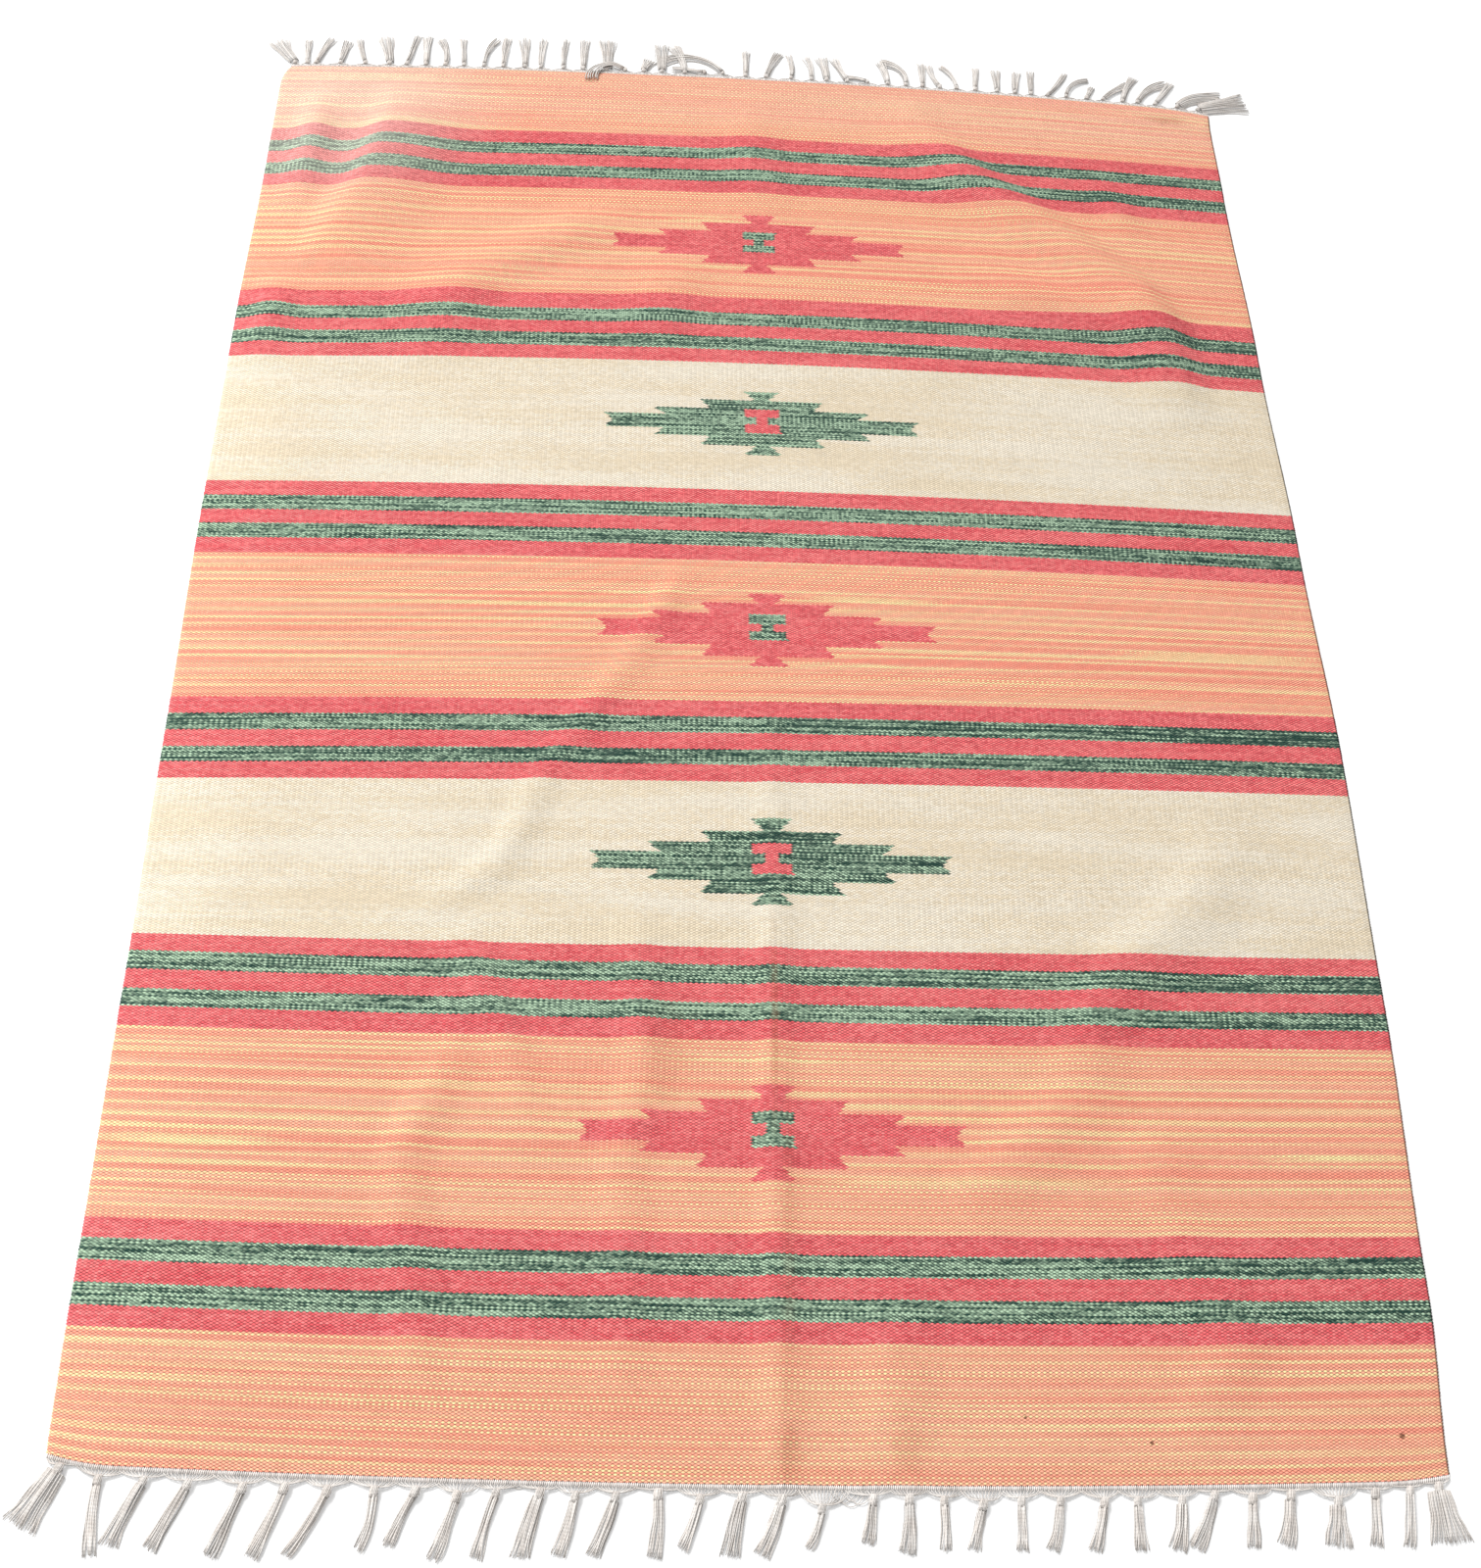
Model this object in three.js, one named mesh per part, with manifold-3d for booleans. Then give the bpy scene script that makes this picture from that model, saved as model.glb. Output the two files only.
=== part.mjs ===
// Flat-woven kilim rug, 1.21 x 1.82 m, lying on a floor with its wrinkles, mm, +Z up.
// +X runs along the weft (the width) and +Y along the warp (the length).
// The woven field and its two white end headings are thin sheets, a warp fringe leaves each
// heading as one comb of knotted tassels, and everything rests on z = 0.
import * as THREE from 'three';
import { mergeVertices } from 'three/addons/utils/BufferGeometryUtils.js';
import Module from 'manifold-3d';

const wasm = await Module();
wasm.setup();

// ---------------------------------------------------------------- driving dimensions
const clothWidth = 1210;
const clothLength = 1820;
const clothThick = 3;
const clothCentre = { x: -7.5, y: 0.3 }; // puts the outermost tassels at equal distances from zero
const headingDepth = 4;
const headingThick = 3.4;
const gap = 0.3; // between neighbouring pieces

const fringe = {
  barDepth: 3, // the row of crossed warps from which every tassel starts
  barThick: 2.4,
  neckWide: 8,
  thick: 5,
};

const halfWidth = clothWidth / 2;
const halfLength = clothLength / 2;
const grid = { across: 30, coarseRow: 52, fineRow: 33, fineFrom: 330 };

// How far the cloth lies from a true rectangle: the weft rows (y) at the left edge, the middle
// and the right edge, and the two side edges (x), for places along the length.
const lieTable = [
  { at: -910, yLeft: 1, yMiddle: -5, yRight: 12, xLeft: 4, xRight: -3 },
  { at: -740, yLeft: 2, yMiddle: 2, yRight: 17, xLeft: 3, xRight: 7 },
  { at: -440, yLeft: 1, yMiddle: 6, yRight: 17, xLeft: 2, xRight: 14 },
  { at: -145, yLeft: -14, yMiddle: 10, yRight: 20, xLeft: 0, xRight: 16 },
  { at: 155, yLeft: -12, yMiddle: 8, yRight: 6, xLeft: -2, xRight: 9 },
  { at: 450, yLeft: -14, yMiddle: 14, yRight: 5, xLeft: -1, xRight: 1 },
  { at: 750, yLeft: -20, yMiddle: 9, yRight: -3, xLeft: 4, xRight: -7 },
  { at: 910, yLeft: -9, yMiddle: 13, yRight: -3, xLeft: 5, xRight: -10 },
];

// The wrinkles. Each is a ridge along a route of [x, y, height] on the cloth, and it reaches
// wideLeft to the left of the way the route runs and wideRight to its right.
const ridges = [
  { name: 'long diagonal', wideLeft: 48, wideRight: 74,
    route: [[190, 890, 0], [228, 815, 6], [275, 748, 14], [380, 646, 12],
      [468, 548, 13], [490, 490, 13], [500, 400, 8], [505, 320, 0]] },
  { name: 'left shoulder', wideLeft: 120, wideRight: 44,
    route: [[-445, 890, 0], [-458, 800, 13], [-468, 745, 16], [-476, 695, 13],
      [-500, 645, 9], [-545, 585, 5], [-575, 540, 0]] },
  { name: 'far left edge', wideLeft: 34, wideRight: 34,
    route: [[-552, 870, 0], [-552, 790, 10], [-556, 745, 8], [-560, 700, 5], [-566, 640, 0]] },
  { name: 'second left edge', wideLeft: 42, wideRight: 36,
    route: [[-572, 540, 0], [-566, 480, 8], [-568, 430, 5], [-572, 380, 0]] },
  { name: 'left swell', wideLeft: 70, wideRight: 85,
    route: [[-300, 640, 0], [-340, 560, 6], [-362, 490, 8], [-372, 430, 3], [-376, 380, 0]] },
  { name: 'left diagonal', wideLeft: 60, wideRight: 55,
    route: [[-380, 500, 0], [-300, 560, 6], [-215, 620, 6], [-140, 650, 0]] },
  { name: 'middle swell', wideLeft: 80, wideRight: 80,
    route: [[-50, 610, 0], [-95, 530, 7], [-108, 480, 5], [-115, 410, 0]] },
  { name: 'far middle', wideLeft: 60, wideRight: 60,
    route: [[-6, 880, 0], [0, 780, 5], [8, 700, 3], [20, 630, 0]] },
  { name: 'right swell', wideLeft: 60, wideRight: 60,
    route: [[250, 600, 0], [330, 545, 6], [410, 520, 7], [500, 500, 3], [540, 490, 0]] },
  { name: 'far right', wideLeft: 36, wideRight: 34,
    route: [[430, 780, 0], [462, 705, 5], [486, 640, 0]] },
  { name: 'middle fold line', wideLeft: 20, wideRight: 27,
    route: [[16, -60, 0], [20, -300, 2.5], [22, -600, 4], [24, -860, 4], [24, -905, 2]] },
  { name: 'lengthwise 1', wideLeft: 34, wideRight: 30,
    route: [[-350, -240, 0], [-348, -480, 3], [-352, -700, 4], [-360, -880, 0]] },
  { name: 'lengthwise 2', wideLeft: 28, wideRight: 28,
    route: [[-286, -330, 0], [-290, -520, 3.5], [-292, -660, 3], [-296, -800, 0]] },
  { name: 'lengthwise 3', wideLeft: 40, wideRight: 34,
    route: [[-150, -380, 0], [-146, -560, 3.5], [-150, -740, 3], [-156, -890, 0]] },
  { name: 'lengthwise 4', wideLeft: 30, wideRight: 40,
    route: [[118, -60, 0], [112, -300, 2.5], [108, -620, 3.5], [104, -880, 0]] },
  { name: 'lengthwise 5', wideLeft: 36, wideRight: 36,
    route: [[232, -300, 0], [226, -520, 3], [222, -700, 3], [218, -860, 0]] },
  { name: 'cream field bend', wideLeft: 24, wideRight: 22,
    route: [[-225, -190, 0], [-243, -255, 4], [-268, -306, 4], [-338, -362, 0]] },
  { name: 'cream field right', wideLeft: 24, wideRight: 26,
    route: [[398, -205, 0], [390, -285, 4], [380, -355, 4], [372, -430, 0]] },
];

// The tassels from left to right. at is the place along the edge, lean and curl are in degrees,
// + towards +X, wide is the tip, length runs from the knot to the tip, out is how far the knot
// stands from the edge. A tassel with rise lies up on the cloth.
const columns = ['at', 'lean', 'curl', 'wide', 'length', 'out', 'rise'];
const nearTassels = [
  [-588, -30, 2, 30, 50, 2.2], [-558, -4, 14, 12, 60, 6], [-520, -26, 10, 16, 54, 5],
  [-483, -24, 0, 14, 56, 6], [-437, -18, -4, 13, 57, 7], [-402, -17, -6, 14, 58, 6],
  [-366, -22, -12, 12, 58, 7], [-327, 0, -20, 9, 47, 6], [-292, -26, 6, 10, 46, 5],
  [-257, -14, -6, 13, 52, 8], [-224, -18, 8, 11, 53, 4.5], [-187, -18, 8, 18, 52, 3.5],
  [-157, -10, -8, 14, 48, 6], [-123, -16, -8, 15, 49, 5.5], [-87, 4, -14, 15, 50, 2.5],
  [-51, -14, -10, 12, 41, 6.5], [-15, -14, 6, 17, 47, 4], [19, -16, -10, 16, 46, 6],
  [53, -10, -22, 9, 32, 13.5], [97, -6, -6, 13, 34, 5], [128, 2, -12, 15, 42, 4.5],
  [158, 4, -10, 9, 38, 6], [192, -14, 0, 10, 36, 9], [225, -2, 0, 11, 38, 6.5],
  [259, -6, -14, 13, 39, 6.5], [297, -10, -10, 12, 39, 7.5], [326, 0, 0, 13, 38, 7],
  [365, -4, -12, 17, 39, 6.5], [394, -18, -12, 15, 46, 2.5], [427, -4, -2, 14, 38, 5.5],
  [461, -6, -10, 15, 41, 3], [502, -6, 0, 22, 35, 9.5], [536, -4, -4, 12, 42, 3],
  [567, -4, -10, 12, 45, 2.2], [592, 2, -6, 30, 45, 2.2],
];
const farTassels = [
  [-592, -40, 8, 22, 48, 2], [-570, -14, 10, 9, 43, 2], [-552, 6, 10, 10, 49, 2],
  [-526, 0, 0, 11, 42, 2], [-501, -20, 14, 8, 47, 2], [-470, -9, -4, 17, 51, 2],
  [-448, 12, -6, 8, 56, 2], [-423, -2, 0, 11, 54, 2], [-398, 6, -36, 9, 50, 2],
  [-374, -6, 4, 9, 50, 2], [-348, -2, 38, 9, 54, 2], [-323, 0, 6, 10, 54, 2],
  [-295, -2, -2, 12, 56, 2], [-274, -4, 12, 10, 54, 2], [-245, -3, 10, 8, 54, 2],
  [-219, 0, 2, 11, 56, 2], [-188, -2, 0, 20, 56, 2], [-164, -58, -128, 12, 60, 2, 4.2],
  [-140, 14, 12, 16, 22, 2], [-116, -2, 0, 18, 52, 2], [-86, -4, -26, 13, 53, 2],
  [-60, -78, -10, 9, 40, 4], [-36, -30, -100, 12, 92, 4], [-6, 0, 0, 9, 47, 2],
  [21, 12, 16, 12, 50, 2], [54, 6, -22, 9, 45, 2], [81, 2, -22, 9, 43, 2],
  [101, -2, -12, 14, 43, 2], [128, -22, 4, 10, 45, 2], [155, -62, -30, 8, 30, 3],
  [182, -6, -10, 11, 42, 2], [206, 6, -88, 10, 58, 2], [228, 0, -2, 10, 42, 2],
  [251, -28, 26, 7, 43, 2], [273, -4, -44, 8, 44, 2], [298, 2, 4, 9, 41, 2],
  [327, 2, -6, 12, 40, 2], [351, 2, 10, 12, 39, 2], [372, 2, 4, 9, 43, 2],
  [394, 36, -14, 8, 50, 2], [419, 6, 76, 9, 48, 2], [446, 20, 4, 8, 22, 2],
  [468, 36, 26, 12, 46, 2], [494, 12, 20, 11, 50, 2], [514, 22, 50, 13, 57, 2],
  [537, 30, 0, 11, 48, 2], [562, 42, 6, 20, 54, 2], [588, 60, 8, 40, 60, 3],
];
const ends = [
  { name: 'near', side: -1, rootWide: 32, knotWide: 10, knotThick: 7.5, knotHalf: 5,
    tassels: nearTassels },
  { name: 'far', side: 1, rootWide: 22, knotWide: 8.5, knotThick: 6.5, knotHalf: 3,
    tassels: farTassels },
];

// ---------------------------------------------------------------- how the cloth lies
const mix = (a, b, share) => a + (b - a) * share;
const ease = (share) => share * share * (3 - 2 * share);

function lieAt(along) {
  const last = lieTable.length - 1;
  const y = Math.min(Math.max(along, lieTable[0].at), lieTable[last].at);
  let row = 0;
  while (row < last - 1 && y > lieTable[row + 1].at) row += 1;
  const [a, b] = [lieTable[row], lieTable[row + 1]];
  const share = ease((y - a.at) / (b.at - a.at));
  const at = (column) => mix(a[column], b[column], share);
  return { yLeft: at('yLeft'), yMiddle: at('yMiddle'), yRight: at('yRight'),
    xLeft: at('xLeft'), xRight: at('xRight') };
}

// Height of one ridge at a place on the cloth: the nearest stretch of its route, times a bell
// across it.
function ridgeLift(ridge, x, y) {
  let nearest = { away: Infinity, lift: 0 };
  for (let i = 0; i + 1 < ridge.route.length; i += 1) {
    const [ax, ay, ah] = ridge.route[i];
    const [bx, by, bh] = ridge.route[i + 1];
    const [dx, dy] = [bx - ax, by - ay];
    const raw = ((x - ax) * dx + (y - ay) * dy) / (dx * dx + dy * dy);
    const share = Math.min(Math.max(raw, 0), 1);
    const away = Math.hypot(x - ax - dx * share, y - ay - dy * share);
    const onLeft = dx * (y - ay) - dy * (x - ax) > 0;
    const wide = onLeft ? ridge.wideLeft : ridge.wideRight;
    const bell = away < wide ? (1 + Math.cos((Math.PI * away) / wide)) / 2 : 0;
    if (away < nearest.away) nearest = { away, lift: mix(ah, bh, share) * bell };
  }
  return nearest.lift;
}

const liftAt = (x, y) => ridges.reduce((sum, ridge) => sum + ridgeLift(ridge, x, y), 0);

// The place where a point of the woven rectangle lies, its underside.
function layCloth(across, along) {
  const lie = lieAt(along);
  const share = across / halfWidth;
  const slant = ((lie.yRight - lie.yLeft) / 2) * share;
  const bow = ((lie.yRight + lie.yLeft) / 2 - lie.yMiddle) * share * share;
  const side = mix(lie.xLeft, lie.xRight, (share + 1) / 2);
  return [
    clothCentre.x + across + side,
    clothCentre.y + along + lie.yMiddle + slant + bow,
    liftAt(across, along),
  ];
}

// ---------------------------------------------------------------- closed solids
function geometryOf(vertices, triangles) {
  const geometry = new THREE.BufferGeometry();
  geometry.setAttribute('position', new THREE.Float32BufferAttribute(vertices.flat(), 3));
  geometry.setIndex(triangles.flat());
  return geometry;
}

// A sheet over the lines across x along of the woven rectangle, with top, underside and rim.
function sheetGeometry(acrossLines, alongLines, thick) {
  const [columns, rows] = [acrossLines.length, alongLines.length];
  const vertices = [];
  for (const raised of [0, thick]) {
    for (const along of alongLines) {
      for (const across of acrossLines) {
        const [x, y, z] = layCloth(across, along);
        vertices.push([x, y, z + raised]);
      }
    }
  }
  const bottom = (column, row) => row * columns + column;
  const top = (column, row) => columns * rows + bottom(column, row);
  const triangles = [];
  const quad = (a, b, c, d) => triangles.push([a, b, c], [a, c, d]);
  for (let r = 0; r + 1 < rows; r += 1) {
    for (let c = 0; c + 1 < columns; c += 1) {
      quad(top(c, r), top(c + 1, r), top(c + 1, r + 1), top(c, r + 1));
      quad(bottom(c, r), bottom(c, r + 1), bottom(c + 1, r + 1), bottom(c + 1, r));
    }
  }
  for (let c = 0; c + 1 < columns; c += 1) {
    quad(bottom(c, 0), bottom(c + 1, 0), top(c + 1, 0), top(c, 0));
    quad(bottom(c + 1, rows - 1), bottom(c, rows - 1), top(c, rows - 1), top(c + 1, rows - 1));
  }
  for (let r = 0; r + 1 < rows; r += 1) {
    quad(bottom(0, r + 1), bottom(0, r), top(0, r), top(0, r + 1));
    quad(bottom(columns - 1, r), bottom(columns - 1, r + 1),
      top(columns - 1, r + 1), top(columns - 1, r));
  }
  return geometryOf(vertices, triangles);
}

function evenLines(from, to, cells) {
  return Array.from({ length: cells + 1 }, (_, i) => mix(from, to, i / cells));
}

function solidOf(geometry) {
  const clean = mergeVertices(geometry);
  return new wasm.Manifold(new wasm.Mesh({
    numProp: 3,
    vertProperties: new Float32Array(clean.attributes.position.array),
    triVerts: new Uint32Array(clean.index.array),
  }));
}

function geometryFrom(solid) {
  const mesh = solid.getMesh();
  const geometry = new THREE.BufferGeometry();
  geometry.setAttribute('position', new THREE.Float32BufferAttribute(mesh.vertProperties, 3));
  geometry.setIndex(Array.from(mesh.triVerts));
  return geometry;
}

// ---------------------------------------------------------------- the pieces
const acrossLines = evenLines(-halfWidth, halfWidth, grid.across);

function fieldGeometry() {
  const coarse = Math.round((grid.fineFrom + halfLength) / grid.coarseRow);
  const fine = Math.round((halfLength - grid.fineFrom) / grid.fineRow);
  const alongLines = [
    ...evenLines(-halfLength, grid.fineFrom, coarse),
    ...evenLines(grid.fineFrom, halfLength, fine).slice(1),
  ];
  return sheetGeometry(acrossLines, alongLines, clothThick);
}

// A narrow band beyond one end of the field, from start to start + depth.
function endStrip(side, start, depth, thick) {
  const [a, b] = [side * (halfLength + start), side * (halfLength + start + depth)];
  return sheetGeometry(acrossLines, [Math.min(a, b), Math.max(a, b)], thick);
}

// One tassel: warps gathered from its share of the edge into a knot, then a tail that leans and
// curls on the floor. It is lofted through four-sided sections, narrower on top.
function tasselGeometry(end, numbers) {
  const row = Object.fromEntries(columns.map((column, k) => [column, numbers[k] ?? 0]));
  const start = halfLength + headingDepth + 2 * gap + fringe.barDepth / 2;
  const [knotX, rootY] = layCloth(row.at, end.side * start);
  const knotY = rootY + end.side * row.out;
  const half = end.knotHalf * end.side;
  const stations = [
    { x: knotX, y: rootY, z: 0, heading: 0, wide: end.rootWide, thick: fringe.barThick - 0.4 },
    { x: knotX, y: knotY - half / 2, z: 0, heading: 0, wide: end.knotWide, thick: end.knotThick },
    { x: knotX, y: knotY + half, z: 0, heading: row.lean, wide: fringe.neckWide,
      thick: end.knotThick - 2 },
  ];
  const steps = Math.abs(row.curl) > 30 ? 4 : 2;
  let { x, y } = stations[2];
  for (let step = 1; step <= steps; step += 1) {
    const angle = THREE.MathUtils.degToRad(row.lean + row.curl * ((step - 0.5) / steps));
    x += (Math.sin(angle) * row.length) / steps;
    y += (Math.cos(angle) * row.length * end.side) / steps;
    stations.push({ x, y, z: row.rise, heading: row.lean + (row.curl * step) / steps,
      wide: mix(fringe.neckWide, row.wide, step / steps), thick: fringe.thick - step / steps });
  }
  const vertices = [];
  for (const at of stations) {
    const turn = THREE.MathUtils.degToRad(at.heading);
    const [sx, sy] = [Math.cos(turn), -Math.sin(turn) * end.side];
    for (const [across, up] of [[-0.5, 0], [0.5, 0], [0.32, at.thick], [-0.32, at.thick]]) {
      vertices.push([at.x + sx * across * at.wide, at.y + sy * across * at.wide, at.z + up]);
    }
  }
  const triangles = [];
  const quad = (a, b, c, d) => (end.side > 0
    ? triangles.push([a, b, c], [a, c, d])
    : triangles.push([c, b, a], [d, c, a]));
  for (let s = 0; s + 1 < stations.length; s += 1) {
    for (let k = 0; k < 4; k += 1) {
      const next = (k + 1) % 4;
      quad(4 * s + next, 4 * s + k, 4 * s + 4 + k, 4 * s + 4 + next);
    }
  }
  const tip = 4 * (stations.length - 1);
  quad(0, 1, 2, 3);
  quad(tip + 3, tip + 2, tip + 1, tip);
  return geometryOf(vertices, triangles);
}

function fringeGeometry(end) {
  let comb = solidOf(endStrip(end.side, headingDepth + 2 * gap, fringe.barDepth, fringe.barThick));
  for (const numbers of end.tassels) {
    comb = comb.add(solidOf(tasselGeometry(end, numbers)));
  }
  return geometryFrom(comb);
}

// ---------------------------------------------------------------- the scene graph
const weave = new THREE.MeshStandardMaterial({ color: 0xf4a283, roughness: 0.95, metalness: 0 });
const whiteEnd = new THREE.MeshStandardMaterial({ color: 0xe8e2da, roughness: 0.95, metalness: 0 });
const warpYarn = new THREE.MeshStandardMaterial({ color: 0xd9d2c8, roughness: 0.9, metalness: 0 });

function piece(name, geometry, material) {
  const mesh = new THREE.Mesh(geometry, material.clone());
  mesh.name = name;
  return mesh;
}

const rug = new THREE.Group();
rug.name = 'kilim_rug';
rug.add(piece('rug_field', fieldGeometry(), weave));
for (const end of ends) {
  const heading = endStrip(end.side, gap, headingDepth, headingThick);
  rug.add(piece(`heading_${end.name}`, heading, whiteEnd));
  rug.add(piece(`fringe_${end.name}`, fringeGeometry(end), warpYarn));
}

export default rug;
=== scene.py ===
"""Looks of a flat-woven kilim rug, 1.21 x 1.82 m, lying on a pale floor. Units are metres.

The cloth is described on its own woven rectangle: s runs across it and t along it, both from its
middle. lay_cloth() gives the place where a point of that rectangle lies. The lie is that of the
solids, while the corners, some wrinkles and a few tassels are nearer the photo than theirs. The
weave is drawn on the same s and t, so it follows every fold.
"""
import math
from functools import partialmethod

import bpy
import numpy as np
from mathutils import Matrix


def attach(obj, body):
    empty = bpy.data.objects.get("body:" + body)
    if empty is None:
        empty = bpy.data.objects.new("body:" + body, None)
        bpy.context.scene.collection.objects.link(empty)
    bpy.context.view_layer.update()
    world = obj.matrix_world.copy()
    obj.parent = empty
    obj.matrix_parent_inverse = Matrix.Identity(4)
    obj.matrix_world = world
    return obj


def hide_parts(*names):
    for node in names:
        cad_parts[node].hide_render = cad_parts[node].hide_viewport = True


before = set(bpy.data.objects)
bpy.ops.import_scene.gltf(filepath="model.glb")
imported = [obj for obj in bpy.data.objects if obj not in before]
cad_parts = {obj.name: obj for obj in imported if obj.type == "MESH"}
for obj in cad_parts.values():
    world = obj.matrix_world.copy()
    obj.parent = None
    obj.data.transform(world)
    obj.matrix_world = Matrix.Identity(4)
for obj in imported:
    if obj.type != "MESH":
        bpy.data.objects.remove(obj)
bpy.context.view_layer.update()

MM = 0.001

# ---------------- sizes, as in the solids
CLOTH_WIDTH = 1210 * MM
CLOTH_LENGTH = 1820 * MM
CLOTH_THICK = 3 * MM
CLOTH_CENTRE = (-7.5 * MM, 0.3 * MM)
HEADING_DEPTH = 4 * MM
HEADING_THICK = 3.4 * MM
PIECE_GAP = 0.3 * MM
BAR_DEPTH = 3 * MM
HALF_WIDTH = CLOTH_WIDTH / 2
HALF_LENGTH = CLOTH_LENGTH / 2

# The weave: a warp every WARP_PITCH across the cloth, a weft row every PICK_PITCH along it.
WARPS = 460
WARP_PITCH = CLOTH_WIDTH / WARPS
PICK_PITCH = 1.5 * MM

# The pattern, counted from the far end: a plain panel, then a triple band and a field in turn.
FAR_PANEL = 112 * MM
STRIPE = 20.6 * MM
BAND = 5 * STRIPE
FIELD = 194.2 * MM
PERIOD = BAND + FIELD

# How far the cloth lies from a true rectangle, in mm: the place along it, then y at the left
# edge, the middle and the right edge, and x at the left and the right edge.
LIE_TABLE = np.array([
    (-910, 1, -5, 12, 4, -3),
    (-740, 2, 2, 17, 3, 7),
    (-440, 1, 6, 17, 2, 14),
    (-145, -14, 10, 20, 0, 16),
    (155, -12, 8, 6, -2, 9),
    (450, -14, 14, 5, -1, 1),
    (750, -20, 9, -3, 4, -7),
    (910, -9, 13, -3, 5, -10),
]) * MM

# How far each corner of the cloth is drawn in, in mm: (sign of s, sign of t, x and y of the
# corner, and how far along the end and along the side it is felt).
CORNERS = ((-1, -1, 1, 8, 60, 90), (1, -1, 0, 5, 60, 60), (1, 1, 2, -8, 90, 60),
           (-1, 1, 9, -1, 60, 34))

# The wrinkles, in mm: (width to the left of the route, width to its right, route of x, y, height).
RIDGES = {
    "long diagonal": (48, 74, ((190, 890, 0), (228, 815, 6), (275, 748, 14), (380, 646, 12),
        (468, 548, 13), (490, 490, 13), (500, 400, 8), (505, 320, 0))),
    "left shoulder": (120, 44, ((-445, 890, 0), (-458, 800, 13), (-468, 745, 16), (-476, 695, 13),
        (-500, 645, 10), (-515, 590, 7), (-530, 540, 0))),
    "far left edge": (34, 34, ((-552, 870, 0), (-552, 790, 10), (-556, 745, 8), (-560, 700, 5),
        (-566, 640, 0))),
    "second left edge": (42, 36, ((-572, 540, 0), (-566, 480, 8), (-568, 430, 5), (-572, 380, 0))),
    "left swell": (70, 85, ((-320, 600, 0), (-345, 550, 3), (-362, 490, 8), (-372, 430, 3),
        (-376, 380, 0))),
    "left diagonal": (60, 55, ((-380, 500, 0), (-300, 560, 5), (-215, 620, 6), (-140, 650, 0))),
    "middle swell": (60, 70, ((-70, 590, 0), (-95, 530, 4), (-108, 480, 5), (-115, 410, 0))),
    "far middle": (60, 60, ((-6, 880, 0), (0, 780, 5), (8, 700, 3), (20, 630, 0))),
    "right swell": (60, 60, ((250, 600, 0), (330, 545, 6), (410, 520, 7), (500, 500, 3),
        (540, 490, 0))),
    "far right": (36, 34, ((430, 780, 0), (462, 705, 5), (486, 640, 0))),
    "middle fold line": (34, 18, ((4, -60, 0), (6, -200, 2), (6, -400, 4), (4, -530, 5), (8, -660, 5),
        (8, -790, 5), (14, -850, 5), (16, -905, 2.5))),
    "beside the fold": (55, 42, ((125, -700, 0), (112, -790, 4), (114, -850, 5), (118, -905, 2))),
    "lengthwise 1": (40, 28, ((-285, -450, 0), (-300, -530, 3), (-332, -610, 6), (-328, -670, 5),
        (-306, -790, 4), (-306, -860, 0))),
    "lengthwise 2": (26, 30, ((-305, -365, 0), (-280, -410, 5), (-232, -525, 4), (-205, -620, 0))),
    "lengthwise 3": (36, 34, ((-128, -330, 0), (-122, -410, 4), (-114, -530, 5.5), (-130, -620, 4),
        (-125, -790, 3), (-120, -870, 0))),
    "right diagonal": (60, 46, ((475, -195, 0), (456, -280, 3), (425, -335, 4), (350, -405, 5),
        (306, -480, 5), (300, -540, 4), (205, -640, 4), (190, -700, 0))),
    "near right": (50, 38, ((362, -560, 0), (365, -625, 3.5), (385, -700, 3), (420, -790, 4),
        (390, -850, 2), (388, -885, 0))),
    "cream field bend": (30, 26, ((-78, 95, 0), (-98, 50, 4), (-138, -40, 3), (-185, -120, 3.5),
        (-228, -200, 3.5), (-243, -255, 4), (-268, -306, 4), (-338, -362, 0))),
}

# The tassels from left to right, in mm and degrees: the place along the edge, lean and curl,
# + towards +X, the width of the tip, the length from knot to tip, how far the knot stands from
# the edge, 2 unless given, and, for one that lies on the cloth, how high.
NEAR_TASSELS = (
    (-592, -28, 2, 30, 52, 2.2), (-558, -4, 14, 12, 60, 6), (-520, -26, 10, 16, 54, 5),
    (-483, -24, 0, 14, 56, 6), (-437, -18, -4, 13, 57, 7), (-402, -17, -6, 14, 58, 6),
    (-366, -22, -12, 12, 58, 7), (-327, 0, -20, 9, 47, 6), (-292, -26, 6, 10, 46, 5),
    (-257, -14, -6, 13, 52, 8), (-224, -18, 8, 11, 53, 4.5), (-187, -18, 8, 18, 52, 3.5),
    (-157, -10, -8, 14, 48, 6), (-123, -16, -8, 15, 49, 5.5), (-87, 4, -14, 15, 50, 2.5),
    (-51, -14, -10, 12, 41, 6.5), (-15, -14, 6, 17, 47, 4), (19, -16, -10, 16, 46, 6),
    (53, -10, -22, 9, 32, 13.5), (97, -6, -6, 13, 34, 5), (128, 2, -12, 15, 42, 4.5),
    (158, 4, -10, 9, 38, 6), (192, -14, 0, 10, 36, 9), (225, -2, 0, 11, 38, 6.5),
    (259, -6, -14, 13, 39, 6.5), (297, -10, -10, 12, 39, 7.5), (326, 0, 0, 13, 38, 7),
    (365, -4, -12, 17, 39, 6.5), (394, -18, -12, 15, 46, 2.5), (427, -4, -2, 14, 38, 5.5),
    (461, -6, -10, 15, 41, 3), (502, -6, 0, 22, 35, 9.5), (536, -4, -4, 12, 42, 3),
    (567, -4, -10, 12, 45, 2.2), (593, 5, 0, 34, 44, 2.2),
)
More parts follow.
